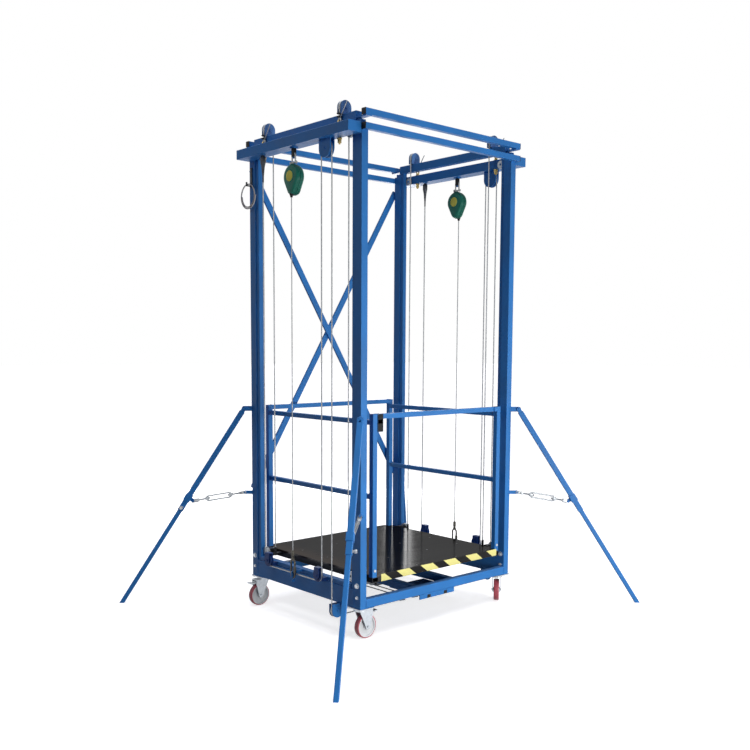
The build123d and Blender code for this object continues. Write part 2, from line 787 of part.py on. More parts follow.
# Winch under the deck: bed plate, rope guide bracket, geared motor and drum
drum_end_x = drum_start_x + drum_length
bed_z = base_height - bed_thickness
bed_rear = drum_y + gearbox_y / 2 + motor_length
bed = block((-bearer_offset - bed_side, bearer_offset + bed_side),
            (drum_y - bed_margin - bed_front, bed_rear), (bed_z, base_height))
bed -= block((drum_start_x - drum_side_gap, drum_end_x + drum_side_gap),
             (drum_y - bed_margin, drum_y + bed_margin), (bed_z - cut_spare, base_height + cut_spare))
bearing_x = drum_start_x - pedestal_gap
bearing_end = bearing_x - pedestal_t
pedestal = block((bearing_end, bearing_x), (drum_y - pedestal_half, drum_y + pedestal_half),
                 (winch_z - pedestal_half, bed_z))
pedestal -= rod((bearing_end - cut_spare, drum_y, winch_z), (bearing_x + cut_spare, drum_y, winch_z),
                shaft_r + bore_clear)
guide_front = -half_d
guide = block((guide_left, guide_right), (guide_front, guide_front + guide_depth), (bed_z, base_height))
lip_low = base_height - guide_lip
lip = block((guide_left, guide_right), (guide_front, guide_front + bed_thickness), (lip_low, base_height))
for notch_x in guide_notches:
    lip -= block((notch_x - notch_half, notch_x + notch_half),
                 (guide_front - cut_spare, guide_front + bed_thickness + cut_spare),
                 (lip_low - cut_spare, lip_low + notch_height))
guide += lip
for side in SIDES.values():
    spot = (turn_x[side], turn_y)
    below = haul_z - sheave_width / 2 - turn_gap
    above = haul_z + sheave_width / 2 + turn_gap
    guide += rod((*spot, below - turn_head_t), (*spot, bed_z + joint_sink), pin_r)
    guide += rod((*spot, below - turn_head_t), (*spot, below), pin_r + turn_head_out)
    guide += rod((*spot, above), (*spot, bed_z + joint_sink), pin_r + turn_boss_out)
save("winch_frame", [bed, pedestal, guide])

gear_x = drum_end_x + gearbox_gap
gearbox = block((gear_x, gear_x + gearbox_x), (drum_y - gearbox_y / 2, drum_y + gearbox_y / 2),
                (bed_z - gearbox_height, bed_z))
gearbox = fillet(gearbox.edges().filter_by(Axis.X), gearbox_round)
gearbox += rod((gear_x + joint_sink, drum_y, winch_z), (bearing_x - shaft_end, drum_y, winch_z), shaft_r)
motor_x = gear_x + gearbox_x / 2
motor_z = bed_z - motor_r - motor_bed_gap
motor_y = drum_y + gearbox_y / 2
motor_end = motor_y + motor_length
motor = rod((motor_x, motor_y, motor_z), (motor_x, motor_end, motor_z), motor_r - motor_fin_depth)
fin_step = (motor_length - motor_fin_spare) / (motor_fin_count - 1)
for index in range(motor_fin_count):
    fin_y = motor_y + motor_fin_start + index * fin_step
    motor += rod((motor_x, fin_y, motor_z), (motor_x, fin_y + motor_fin_t, motor_z), motor_r)
terminal_x = motor_x - motor_r - terminal_out
terminal_y = motor_y + terminal_start
terminals = block((terminal_x, motor_x), (terminal_y, terminal_y + terminal_length),
                  (motor_z - terminal_half, motor_z + terminal_half))
gland_y = terminal_y + terminal_length / 2
terminals += rod((terminal_x + joint_sink, gland_y, motor_z), (terminal_x - gland_length, gland_y, motor_z),
                 gland_r)
terminals -= motor
save("winch_motor", [gearbox, motor, terminals])

drum = rod((drum_start_x, drum_y, winch_z), (drum_end_x, drum_y, winch_z), drum_core_r)
for flange_x in (drum_start_x, drum_end_x - drum_flange_t):
    drum += rod((flange_x, drum_y, winch_z), (flange_x + drum_flange_t, drum_y, winch_z), drum_flange_r)
drum -= rod((drum_start_x - cut_spare, drum_y, winch_z), (drum_end_x + cut_spare, drum_y, winch_z),
            shaft_r + bore_clear)
save("winch_drum", drum)


# Hoist ropes: drum, turning sheave, base sheave, snatch block, two lower sheaves, dead end
def hoist_rope(side):
    x = at_x(side, -rope_plane)
    y_static = at_y(-1, static_fall_v)
    y_snatch = at_y(-1, snatch_v)
    y_moving = y_snatch + snatch_r
    y_front = at_y(-1, lower_front_v)
    y_rear = at_y(1, lower_rear_v)
    y_dead = y_rear + lower_r
    low = lower_z - lower_r
    anchor_z = beam_bottom - dead_end_drop - dead_end_length
    x_turn = turn_x[side]
    x_lead = x_turn - side * turn_r
    x_base = x - side * base_sheave_r
    d = math.sqrt(0.5)
    begin = (x_lead, drum_y, haul_z)
    route = Wire([
        Line(begin, (x_lead, turn_y, haul_z)),
        ThreePointArc((x_lead, turn_y, haul_z), (x_turn - side * turn_r * d, turn_y - turn_r * d, haul_z),
                      (x_turn, y_static, haul_z)),
        Line((x_turn, y_static, haul_z), (x_base, y_static, haul_z)),
        ThreePointArc((x_base, y_static, haul_z),
                      (x_base + side * base_sheave_r * d, y_static, base_sheave_z - base_sheave_r * d),
                      (x, y_static, base_sheave_z)),
        Line((x, y_static, base_sheave_z), (x, y_static, snatch_z)),
        ThreePointArc((x, y_static, snatch_z), (x, y_snatch, snatch_z + snatch_r), (x, y_moving, snatch_z)),
        Line((x, y_moving, snatch_z), (x, y_moving, lower_z)),
        ThreePointArc((x, y_moving, lower_z), (x, y_front - lower_r * d, lower_z - lower_r * d),
                      (x, y_front, low)),
        Line((x, y_front, low), (x, y_rear, low)),
        ThreePointArc((x, y_rear, low), (x, y_rear + lower_r * d, lower_z - lower_r * d),
                      (x, y_dead, lower_z)),
        Line((x, y_dead, lower_z), (x, y_dead, anchor_z)),
    ])
    return sweep(Plane(origin=begin, z_dir=(0, -1, 0)) * Circle(rope_d / 2), path=route)


arrester_top = beam_bottom - arrester_hang
arrester_low = arrester_top - arrester_height
wire_ropes = []
for side in SIDES.values():
    wire_ropes.append(hoist_rope(side))
    spot = (at_x(side, -lanyard_plane), at_y(-1, arrester_v))
    wire_ropes.append(rod((*spot, hook_top), (*spot, arrester_low), lanyard_d / 2))
save("wire_ropes", wire_ropes)


# Carriage ropes: eyebolt on the outer beam, over the head sheave, down to the carriage lug
def carriage_rope(side, end):
    y = at_y(end, head_v)
    middle = at_x(side, head_u)
    outside = middle + side * head_r
    inside_fall = middle - side * head_r
    begin = (outside, y, outer_post_top + socket_length)
    route = Wire([
        Line(begin, (outside, y, head_z)),
        ThreePointArc((outside, y, head_z), (middle, y, head_z + head_r), (inside_fall, y, head_z)),
        Line((inside_fall, y, head_z), (inside_fall, y, deck_frame_top + socket_length)),
    ])
    return sweep(Plane(origin=begin, z_dir=(0, 0, 1)) * Circle(rope_d / 2), path=route)


save("carriage_ropes", [carriage_rope(side, end) for side, end in CORNERS.values()])

# Fall arresters: moulded egg-shaped housings hung under the top beams
housings = []
body_r = arrester_width / 2
crown = Pos(0, arrester_height - arrester_belly - arrester_crown_r) * Circle(arrester_crown_r)
foot = Pos(0, arrester_foot_r - arrester_belly) * Circle(arrester_foot_r)
egg = make_hull([*Circle(body_r).edges(), *crown.edges(), *foot.edges()])
shell = extrude(egg, arrester_thickness / 2, both=True)
shell = fillet(shell.edges().group_by(Axis.Z)[0] + shell.edges().group_by(Axis.Z)[-1], arrester_round)
shell += Cylinder(arrester_label_r, arrester_thickness + 2 * arrester_label_proud)
for side in SIDES.values():
    spot = (at_x(side, -rope_plane), at_y(-1, arrester_v), arrester_low + arrester_belly)
    housings.append(Plane(origin=spot, x_dir=(0, 1, 0), z_dir=(1, 0, 0)).location * shell)
save("fall_arresters", housings)

# Rigging: eyebolts, rope dead ends and frame bolts
rigging = []
for side, end in CORNERS.values():
    spot = (at_x(side, eyebolt_u), at_y(end, head_v))
    bolt = rod((*spot, beam_bottom - eyebolt_tail), (*spot, outer_post_top + socket_length), eyebolt_r)
    bolt += rod((*spot, outer_post_top), (*spot, outer_post_top + socket_length), socket_r)
    bolt += Pos(*spot, beam_bottom - nut_t) * extrude(RegularPolygon(nut_r, 6), nut_t)
    rigging.append(bolt)
    for lift in frame_bolt_lift:
        head = (at_x(side, 0), at_y(end, outer_post_y / 2), base_height + lift)
        face = Plane(origin=head, z_dir=(side, 0, 0))
        rigging.append(extrude(face * RegularPolygon(nut_r, 6), bolt_head_t))
for side in SIDES.values():
    x = at_x(side, -rope_plane)
    y = at_y(1, dead_end_v)
    stud = rod((x, y, beam_bottom - dead_end_drop), (x, y, beam_bottom), dead_end_stud_r)
    socket = Cone(dead_end_small_r, dead_end_large_r, dead_end_length)
    stud += Pos(x, y, beam_bottom - dead_end_drop - dead_end_length / 2) * socket
    rigging.append(stud)
save("rigging", rigging)

# Snap hooks between the lanyards and the lugs of the bottom beams
snap_hooks = []
shoulder = hook_top - hook_neck
bow_z = hook_lug_z + hook_eye_r - hook_wire_r - seat_gap
for side in SIDES.values():
    x = at_x(side, -lanyard_plane)
    y = at_y(-1, arrester_v)
    half = hook_width / 2
    snap = rod((x, y, shoulder), (x, y, hook_top), hook_barrel_r)
    snap += rod((x, y - half, shoulder), (x, y + half, shoulder), hook_wire_r + hook_shoulder)
    snap += rod((x, y - half, bow_z), (x, y + half, bow_z), hook_wire_r)
    for sign in (-1, 1):
        snap += rod((x, y + sign * half, bow_z - hook_wire_r), (x, y + sign * half, shoulder), hook_wire_r)
    snap_hooks.append(snap)
save("lanyard_hooks", snap_hooks)


# Rope coil hung on its hook: a flat spiral of half turns, with straight ends
def rope_coil():
    hang_z = hook_arm_z + hook_bar + seat_gap - coil_inner_r - coil_growth + coil_rope_d / 2
    frame = Plane(origin=(post_face - coil_out, hook_y, hang_z), x_dir=(0, 1, 0), z_dir=(1, 0, 0))
    edges = [Line((coil_inner_r, coil_rope_d, 0), (coil_inner_r, 0, 0))]
    start, radius, sign = coil_inner_r, coil_inner_r, 1
    for _ in range(coil_half_turns):
        finish = start - sign * 2 * radius
        edges.append(ThreePointArc((start, 0, 0), ((start + finish) / 2, -sign * radius, 0), (finish, 0, 0)))
        start, radius, sign = finish, radius + coil_growth, -sign
    edges.append(Line((start, 0, 0), (start, sign * coil_rope_d, 0)))
    route = Wire(edges)
    count = 400
    points = [route.position_at(index / count) for index in range(count + 1)]
    skip = int(count * 4 * coil_rope_d / route.length)
    least = min((points[i] - points[j]).length for i in range(count) for j in range(i + skip, count + 1))
    print("coil least self gap", round(least - coil_rope_d, 3))
    section = Plane(origin=route @ 0, z_dir=route % 0) * Circle(coil_rope_d / 2)
    return frame.location * sweep(section, path=route)


save("rope_coil", rope_coil())

# Casters: top plate with its race and king pin, fork, wheel and brake pedal
race_low = base_height - plate_t - race_height
crown_top = race_low - roll_gap
crown_low = crown_top - crown_t
pedal_x = caster_trail + pedal_ahead
pedal_z = crown_low - pedal_below
fork_half = fork_gap / 2 + fork_t


def caster_plate(corner):
    side, end = CORNERS[corner]
    spot = (at_x(side, caster_u), at_y(end, caster_v))
    plate = Pos(*spot, base_height - plate_t / 2) * Box(plate_x, plate_y, plate_t)
    plate = fillet(plate.edges().filter_by(Axis.Z), plate_round)
    plate += rod((*spot, race_low), (*spot, base_height - plate_t), race_r)
    plate += rod((*spot, crown_low - king_nut_t), (*spot, race_low), axle_r)
    king_nut = extrude(RegularPolygon(king_nut_r, 6), king_nut_t - roll_gap)
    return plate + Pos(*spot, crown_low - king_nut_t) * king_nut


def caster_fork():
    fork = Pos(0, 0, crown_low + crown_t / 2) * Cylinder(crown_r, crown_t)
    front = pedal_x + fork_ahead
    fork += block((0, front), (-fork_half, fork_half), (crown_low, crown_low + fork_bridge))
    fork -= Pos(0, 0, crown_low) * Cylinder(axle_r + bore_clear, 4 * crown_t)
    arm_top = crown_low + fork_sink
    outline = Polyline((-fork_back, arm_top), (front, arm_top), (front, pedal_z - fork_ahead),
                       (caster_trail + fork_boss_r, wheel_r), (caster_trail - fork_boss_r, wheel_r),
                       close=True)
    for start in (-fork_half, fork_gap / 2):
        face = Plane(origin=(0, start, 0), x_dir=(1, 0, 0), z_dir=(0, -1, 0))
        fork += extrude(face * make_face(outline), -fork_t)
        fork += rod((caster_trail, start, wheel_r), (caster_trail, start + fork_t, wheel_r), fork_boss_r)
    axle_half = fork_half + axle_end
    fork += rod((caster_trail, -axle_half, wheel_r), (caster_trail, axle_half, wheel_r), axle_r)
    return fork + rod((pedal_x, -fork_half, pedal_z), (pedal_x, fork_half, pedal_z), pedal_pin_r)


def caster_wheel():
    bore = axle_r + bore_clear
    rim = wheel_width / 2 - tread_side
    boss_foot = hub_boss_r + tread_side
    rim_foot = hub_r - hub_rim
    right = [(bore, hub_width / 2), (hub_boss_r, hub_width / 2), (boss_foot, hub_web), (rim_foot, hub_web),
             (rim_foot + tread_side, rim), (hub_r, rim)]
    left = [(r, -z) for r, z in reversed(right)]
    hub = revolve(make_face(Plane.XZ * Polyline(*right, *left, close=True)), Axis.Z)
    tread = fillet(Cylinder(wheel_r, wheel_width).edges().filter_by(GeomType.CIRCLE), tread_round)
    tread -= Cylinder(hub_r, wheel_width)
    return [on_axis(piece, "y", (caster_trail, 0, wheel_r)) for piece in (hub, tread)]


def brake_pedal():
    barrel_half = fork_gap / 2 - pedal_side_gap
    tip = pedal_x + pedal_length
    under = pedal_z - pedal_half_t
    lever = rod((pedal_x, -barrel_half, pedal_z), (pedal_x, barrel_half, pedal_z), pedal_pin_r + pedal_barrel)
    lever += block((pedal_x, tip), (-pedal_arm_half, pedal_arm_half), (under, pedal_z + pedal_half_t))
    lever += block((tip - pedal_tread, tip), (-pedal_tread_half, pedal_tread_half),
                   (under, pedal_z + pedal_tread_t))
    return lever - rod((pedal_x, -fork_gap, pedal_z), (pedal_x, fork_gap, pedal_z), pedal_pin_r + bore_clear)


save("caster_plates", [caster_plate(corner) for corner in CORNERS])
for corner, (side, end) in CORNERS.items():
    place = Pos(at_x(side, caster_u), at_y(end, caster_v), 0) * Rot(0, 0, caster_turn[corner])
    save(f"caster_fork_{corner}", place * caster_fork())
    save(f"caster_wheel_{corner}", [place * piece for piece in caster_wheel()])
    save(f"brake_pedal_{corner}", place * brake_pedal())

# Outriggers: telescoping legs on the corner lugs, tied to the posts by turnbuckles
leg_length = math.hypot(leg_plan_reach, leg_pivot_z)
leg_sin = leg_plan_reach / leg_length
leg_cos = leg_pivot_z / leg_length
leg_frame = Plane(origin=(0, 0, 0), x_dir=(0, 1, 0), z_dir=(leg_sin, 0, -leg_cos)).location


def leg_at(z):
    """Distance along a leg from its pivot to a height above the floor."""
    return (leg_pivot_z - z) / leg_cos


def square_tube(start, finish, size, wall):
    return tube((0, 0, start), (0, 0, finish), size, size, wall, across=(1, 0, 0))


def upper_leg():
    """Made along +Z from its pivot, with local X as the pivot axis."""
    leg = square_tube(leg_nose + leg_start, leg_at(leg_upper_end_z), leg_upper, leg_wall)
    ear_in = lug_t / 2 + ear_gap
    for sign in (-1, 1):
        xs = (sign * ear_in, sign * (ear_in + ear_t))
        leg += block(xs, (-leg_ear_half, leg_ear_half), (0, leg_nose + leg_ear_length))
        leg += rod((xs[0], 0, 0), (xs[1], 0, 0), leg_ear_half)
    leg -= rod((-leg_upper, 0, 0), (leg_upper, 0, 0), leg_pin_r + bore_clear)
    middle = leg_at(collar_z)
    leg += square_tube(middle - collar_length / 2, middle + collar_length / 2, collar_size,
                       (collar_size - leg_upper) / 2)
    lock_z = leg_at(lock_pin_z)
    knob_x = leg_upper / 2 + lock_stem
    leg += rod((leg_upper / 2 - joint_sink, 0, lock_z), (knob_x, 0, lock_z), lock_stem_r)
    return leg + rod((knob_x, 0, lock_z), (knob_x + lock_knob, 0, lock_z), lock_knob_r)


def lower_leg():
    start = leg_at(leg_upper_end_z) - leg_overlap
    return square_tube(start, leg_length + leg_spare, leg_lower, leg_wall)


tie_run = (leg_pivot_z - collar_z) * leg_sin / leg_cos
tie_ear = collar_size / 2 + collar_ear - collar_nose
tie_far = Vector(tie_run - tie_ear * leg_cos, 0, collar_z - turnbuckle_z - tie_ear * leg_sin)
tie_length = tie_far.length
tie_drop = math.degrees(math.atan2(-tie_far.Z, tie_far.X))


def collar_lug():
    """Ear and open pivot pin on the leg's collar, in the corner frame at the tie's height."""
    lean = math.degrees(math.atan2(leg_sin, leg_cos))
    ear = block((0, collar_ear - collar_nose), (-collar_ear_half, collar_ear_half),
                (-collar_nose, collar_nose))
    ear += rod((0, -collar_ear_half, 0), (0, collar_ear_half, 0), collar_nose)
    ear += rod((0, -collar_pin_half, 0), (0, collar_pin_half, 0), turnbuckle_pin_r)
    return Pos(*tie_far) * Rot(0, -lean, 0) * ear


def turnbuckle():
    """Open-bodied tensioner along +X from the post's lug to the open pivot at the leg."""
    ear_in = lug_t / 2 + ear_gap
    ear_out = ear_in + jaw_plate
    tie = block((turnbuckle_nose + jaw_plate, jaw_end), (-ear_out, ear_out), (-jaw_half, jaw_half))
    for sign in (-1, 1):
        ys = (sign * ear_in, sign * ear_out)
        tie += block((0, jaw_end), ys, (-jaw_half, jaw_half)) + rod((0, ys[0], 0), (0, ys[1], 0), jaw_half)
    tie -= rod((0, -jaw_end, 0), (0, jaw_end, 0), turnbuckle_pin_r + bore_clear)
    body_start, body_end = body_near_gap, tie_length - body_far_gap
    block_start, block_end = tie_length - hook_block_start, tie_length - hook_block_end
    tie += rod((jaw_end - joint_sink, 0, 0), (body_start + rod_in_body, 0, 0), rod_r)
    tie += rod((body_end - rod_in_body, 0, 0), (block_start + joint_sink, 0, 0), rod_r)
    for start in (body_start, body_end - yoke_length):
        tie += block((start, start + yoke_length), (-yoke_half, yoke_half), (-yoke_rise, yoke_rise))
    for sign in (-1, 1):
        bar_z = sign * (yoke_rise - frame_bar_r)
        tie += rod((body_start + frame_bar_inset, 0, bar_z), (body_end - frame_bar_inset, 0, bar_z),
                   frame_bar_r - frame_bar_play)
    jaw_in = collar_ear_half + open_pivot_gap
    jaw_out = jaw_in + jaw_plate
    open_half = turnbuckle_pin_r + open_pivot_gap
    jaw = block((block_start, block_end), (-jaw_out, jaw_out), (-hook_block_half, hook_block_half))
    for sign in (-1, 1):
        jaw += block((block_start, tie_length + hook_reach), (sign * jaw_in, sign * jaw_out),
                     (-hook_floor, hook_block_half))
    jaw -= block((tie_length - open_half, tie_length + 2 * hook_reach), (-2 * jaw_out, 2 * jaw_out),
                 (-open_half, 2 * hook_reach))
    return Rot(0, tie_drop, 0) * (tie + jaw)


floor_half = half_w + leg_reach_x + 2 * leg_spare
below_floor = block((-floor_half, floor_half), (-floor_half, floor_half), (-2 * leg_spare, 0))
for corner in CORNERS:
    pivot = corner_frame(corner, leg_pivot_z)
    tie_point = corner_frame(corner, turnbuckle_z)
    save(f"outrigger_upper_{corner}", pivot * leg_frame * upper_leg() + tie_point * collar_lug())
    save(f"outrigger_lower_{corner}", pivot * leg_frame * lower_leg() - below_floor)
    save(f"turnbuckle_{corner}", tie_point * turnbuckle())
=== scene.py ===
"""Looks of the electric lifting platform: a blue four-post tower with a telescoping mast,
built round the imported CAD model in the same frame, in metres."""
import json
import math
from functools import partial

import bmesh
import bpy
from mathutils import Matrix, Vector


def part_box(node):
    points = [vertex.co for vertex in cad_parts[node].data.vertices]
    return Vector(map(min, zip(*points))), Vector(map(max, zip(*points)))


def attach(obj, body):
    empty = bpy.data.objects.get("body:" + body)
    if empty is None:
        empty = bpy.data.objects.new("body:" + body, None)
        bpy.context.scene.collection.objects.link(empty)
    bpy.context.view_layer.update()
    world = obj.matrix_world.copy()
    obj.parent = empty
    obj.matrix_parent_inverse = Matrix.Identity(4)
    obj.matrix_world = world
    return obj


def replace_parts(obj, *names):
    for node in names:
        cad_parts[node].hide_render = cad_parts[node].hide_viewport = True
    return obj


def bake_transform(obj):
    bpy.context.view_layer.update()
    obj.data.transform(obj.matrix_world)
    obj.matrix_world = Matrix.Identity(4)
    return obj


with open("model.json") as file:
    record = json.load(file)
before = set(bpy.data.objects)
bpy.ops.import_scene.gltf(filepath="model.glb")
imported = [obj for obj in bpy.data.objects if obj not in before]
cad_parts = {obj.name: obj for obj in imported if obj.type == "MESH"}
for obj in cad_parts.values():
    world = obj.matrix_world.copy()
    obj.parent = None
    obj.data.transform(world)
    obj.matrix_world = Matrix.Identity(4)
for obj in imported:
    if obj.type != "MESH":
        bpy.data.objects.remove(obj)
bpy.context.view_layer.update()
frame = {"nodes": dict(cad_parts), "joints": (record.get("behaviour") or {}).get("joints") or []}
nodes = frame["nodes"]

# Studio: a pale matt floor under a white sky. A soft key lamp stands low in front, cards fill the sides
# and the rear, a tall window shines in the deck's film, and an overcast sun lays the floor's shadow.
scene = bpy.context.scene
scene.view_settings.view_transform = "Standard"


def linear(colour):
    """An sRGB hex colour as the linear RGBA of a socket."""
    values = [int(colour[i:i + 2], 16) / 255 for i in (1, 3, 5)]
    return [v / 12.92 if v <= 0.04045 else ((v + 0.055) / 1.055) ** 2.4 for v in values] + [1]


def add(tree, kind, inputs=None, **settings):
    """Add a node with its settings. An input is a constant, a hex colour, a socket, or a node, which
    stands for its first output in use."""
    made = tree.nodes.new("ShaderNode" + kind)
    for key, value in settings.items():
        setattr(made, key, value)
    for key, value in (inputs or {}).items():
        if isinstance(value, bpy.types.Node):
            value = next(output for output in value.outputs if output.enabled)
        if isinstance(value, bpy.types.NodeSocket):
            tree.links.new(value, made.inputs[key])
        else:
            made.inputs[key].default_value = linear(value) if isinstance(value, str) else value
    return made


world = bpy.data.worlds.new("white_studio")
scene.world = world
world.use_nodes = True
sky = world.node_tree
sky.nodes.clear()
ray = add(sky, "LightPath").outputs
seen = add(sky, "Math", {0: ray["Is Camera Ray"], 1: ray["Is Glossy Ray"]}, operation="MAXIMUM")
seen = add(sky, "Math", {0: seen, 1: ray["Is Transmission Ray"]}, operation="MAXIMUM")
shown = add(sky, "Background", {"Color": "#FFFFFF"})
ambient = add(sky, "Background", {"Color": "#D6CCFF", "Strength": 0.085})
both = add(sky, "MixShader", {"Fac": seen, 1: ambient, 2: shown})
add(sky, "OutputWorld", {"Surface": both})

floor_half = 60
floor_mesh = bpy.data.meshes.new("floor")
bm = bmesh.new()
bmesh.ops.create_grid(bm, x_segments=1, y_segments=1, size=floor_half)
bm.to_mesh(floor_mesh)
bm.free()
floor = bpy.data.objects.new("floor", floor_mesh)
scene.collection.objects.link(floor)
floor_paint = bpy.data.materials.new("pale_floor")
floor_paint.use_nodes = True
tree = floor_paint.node_tree
tree.nodes.clear()
ray = add(tree, "LightPath").outputs
matt = add(tree, "BsdfDiffuse", {"Color": "#F2F2F2"})
dim = add(tree, "BsdfDiffuse", {"Color": "#58565E"})
glow = add(tree, "Emission", {"Color": "#FFFFFF", "Strength": 0.68})
lifted = add(tree, "AddShader", {0: matt, 1: glow})
direct = add(tree, "Math", {0: ray["Is Camera Ray"], 1: ray["Is Glossy Ray"]}, operation="MAXIMUM")
mixed = add(tree, "MixShader", {"Fac": direct, 1: dim, 2: lifted})
add(tree, "OutputMaterial", {"Surface": mixed})
floor_mesh.materials.append(floor_paint)


def aim(lamp, place, target):
    """Hang a lamp at a place and turn it to its target."""
    holder = bpy.data.objects.new(lamp.name, lamp)
    holder.location = place
    holder.rotation_euler = (Vector(target) - Vector(place)).to_track_quat("-Z", "Y").to_euler()
    scene.collection.objects.link(holder)
    return holder


def soft_lamp(name, width, watts, place, target, height=None):
    """A round lamp, or an upright rectangular one where a height is given."""
    lamp = bpy.data.lights.new(name, "AREA")
    lamp.shape = "RECTANGLE" if height else "DISK"
    lamp.size = width
    lamp.size_y = height or width
    lamp.energy = watts
    return aim(lamp, place, target)


soft_lamp("key_lamp", width=1.8, watts=125, place=(-0.1, -3.9, 0.4), target=(0, 0, 0.9))
soft_lamp("front_right_card", width=2.6, watts=55, place=(3.4, -4.4, 0.7), target=(0, 0, 0.7))
soft_lamp("left_card", width=1.5, watts=10, place=(-3.4, 0.3, 3.6), target=(-0.57, 0, 2.4))
soft_lamp("rear_window", width=0.26, height=2.4, watts=18, place=(3.04, 3.08, 1.4), target=(0, 0, 1.4))
rear_card = soft_lamp("rear_card", width=2.6, watts=50, place=(1.6, 4.4, 0.9), target=(0, 0, 1))
rear_card.visible_glossy = False
overcast = bpy.data.lights.new("overcast_sun", "SUN")
overcast.angle = math.radians(40)
overcast.energy = 1.5
aim(overcast, place=(0.3, -1.2, 5), target=(0, 0, 0))

# Camera: the photograph's own view, solved from the tower's corners, with its framing kept by a
# shift of the lens.
camera = bpy.data.cameras.new("photo_camera")
camera.lens = 43.565
camera.sensor_width = 36
camera.shift_y = 0.0813
camera.clip_end = 200
eye = bpy.data.objects.new("photo_camera", camera)
yaw, pitch, roll = math.radians(41.78), math.radians(5.62), math.radians(-0.28)
ahead = Vector((math.sin(yaw) * math.cos(pitch), math.cos(yaw) * math.cos(pitch), -math.sin(pitch)))
level = ahead.to_track_quat("-Z", "Y").to_matrix()
eye.rotation_mode = "QUATERNION"
eye.rotation_quaternion = (Matrix.Rotation(roll, 3, ahead) @ level).to_quaternion()
eye.location = (-3.479, -3.835, 1.485)
scene.collection.objects.link(eye)
scene.camera = eye

# Painted steel frame: square tube and channel, welded, then sprayed in blue enamel.
# The enamel gives an even blue with a fine orange peel, a soft shine, and dust on flat tops.
first, second, blended = 6, 7, 2  # a Mix node's colour inputs and output


def new_material(name):
    """An empty material, the call that puts nodes in it, and its Object coordinates."""
    made = bpy.data.materials.new(name)
    made.use_nodes = True
    made.node_tree.nodes.clear()
    put = partial(add, made.node_tree)
    return made, put, put("TexCoord").outputs["Object"]


def enamel(name, colour, scuff):
    """Sprayed enamel on steel: orange peel, cloudy film build, rubbed scuffs and settled dust."""
    cloud_size, peel_size, scuff_width, scuff_length, darker, paler = 0.22, 0.003, 0.02, 0.16, 0.88, 1.1
    paint, put, spot = new_material(name)
    base = linear(colour)[:3]
    cloud = put("TexNoise", {"Vector": spot, "Scale": 1 / cloud_size, "Detail": 3})
    shade = put("ValToRGB", {"Fac": cloud})
    dark, pale = shade.color_ramp.elements
    dark.position, pale.position = 0.3, 0.7
    dark.color = [v * darker for v in base] + [1]
    pale.color = [min(1, v * paler) for v in base] + [1]
    stretched = put("Mapping", {
        "Vector": spot, "Scale": (1 / scuff_width, 1 / scuff_width, 1 / scuff_length)})
    rubbed = put("TexNoise", {"Vector": stretched, "Scale": 1, "Detail": 6, "Roughness": 0.7})
    worn = put("MapRange", {"Value": rubbed, "From Min": 0.66, "From Max": 0.78, "To Max": 0.35})
    tint = put("Mix", {"Factor": worn, first: shade, second: scuff}, data_type="RGBA")
    normal = put("SeparateXYZ", {"Vector": put("NewGeometry").outputs["Normal"]})
    flat = put("MapRange", {"Value": normal.outputs["Z"], "From Min": 0.8, "To Max": 0.12})
    dusty = put("Mix", {"Factor": flat, first: tint, second: "#B9C0C8"}, data_type="RGBA")
    peel = put("TexNoise", {"Vector": spot, "Scale": 1 / peel_size})
    bump = put("Bump", {"Height": peel, "Strength": 0.12, "Distance": 0.0004})
    gloss = put("MapRange", {
        "Value": cloud, "From Min": 0.3, "From Max": 0.7, "To Min": 0.36, "To Max": 0.5})
    skin = put("BsdfPrincipled", {
        "Base Color": dusty, "Roughness": gloss, "Specular IOR Level": 0.2, "Normal": bump})
    put("OutputMaterial", {"Surface": skin})
    return paint


def dress(material, *names):
    """Give CAD nodes a finished material."""
    for name in names:
        for holder in nodes[name].material_slots:
            holder.material = material


corners = {"fl": (-1, -1), "fr": (1, -1), "rl": (-1, 1), "rr": (1, 1)}
blue_enamel = enamel("blue_enamel_on_steel", "#2E78BF", "#1B4684")
dress(blue_enamel, "outer_posts", "outer_top_beams", "ties_and_braces", "base_beams", "winch_frame",
      "fixed_blocks", "inner_posts", "inner_beams", "inner_tie_rails", "guard_rails", "gate_bar",
      "snatch_sheaves")
for corner in corners:
    dress(blue_enamel, f"outrigger_upper_{corner}", f"outrigger_lower_{corner}")

# Mast blocks: folded steel plate in navy enamel. The lower ones and their sheaves keep the darker navy,
# which is painted shade; those at the mast's head turn a paler blue, which is painted light.
navy, worn_navy = "#1C3F7C", "#10254A"
# Painted shade: the lower sheaves take a darker navy than the frame's blue.
shaded_navy_enamel = enamel("navy_enamel_on_steel", navy, worn_navy)
dress(shaded_navy_enamel, "lower_front_sheaves", "lower_rear_sheaves")
block_enamel = enamel("faded_navy_enamel", navy, worn_navy)
# Painted light and shade in one enamel: below this height the blocks stay dark navy as painted shade, above
# it they take a paler mottled blue as painted light.
painted_light_above, painted_light_cloud_size = 1.5, 0.04
tree = block_enamel.node_tree
put = partial(add, tree)
spot = put("TexCoord").outputs["Object"]
height = put("SeparateXYZ", {"Vector": spot}).outputs["Z"]
at_head = put("Math", {0: height, 1: painted_light_above}, operation="GREATER_THAN")
painted_light_cloud = put("TexNoise", {"Vector": spot, "Scale": 1 / painted_light_cloud_size})
pale = put("Mix", {"Factor": painted_light_cloud, first: "#4676B4", second: "#6C96CC"}, data_type="RGBA")
skin = tree.nodes["Principled BSDF"]
navy_painted_shade_colour = skin.inputs["Base Color"].links[0].from_socket
tone = put("Mix", {"Factor": at_head, first: navy_painted_shade_colour, second: pale}, data_type="RGBA")
tree.links.new(tone.outputs[blended], skin.inputs["Base Color"])
dress(block_enamel, "mast_blocks")

# Other metal: zinc-plated caster plates, forks and pedals, turned sheaves, drum and rollers, a grey
# motor and a black deck frame. Plating leaves a pale metal with faint patches and a fine grain.


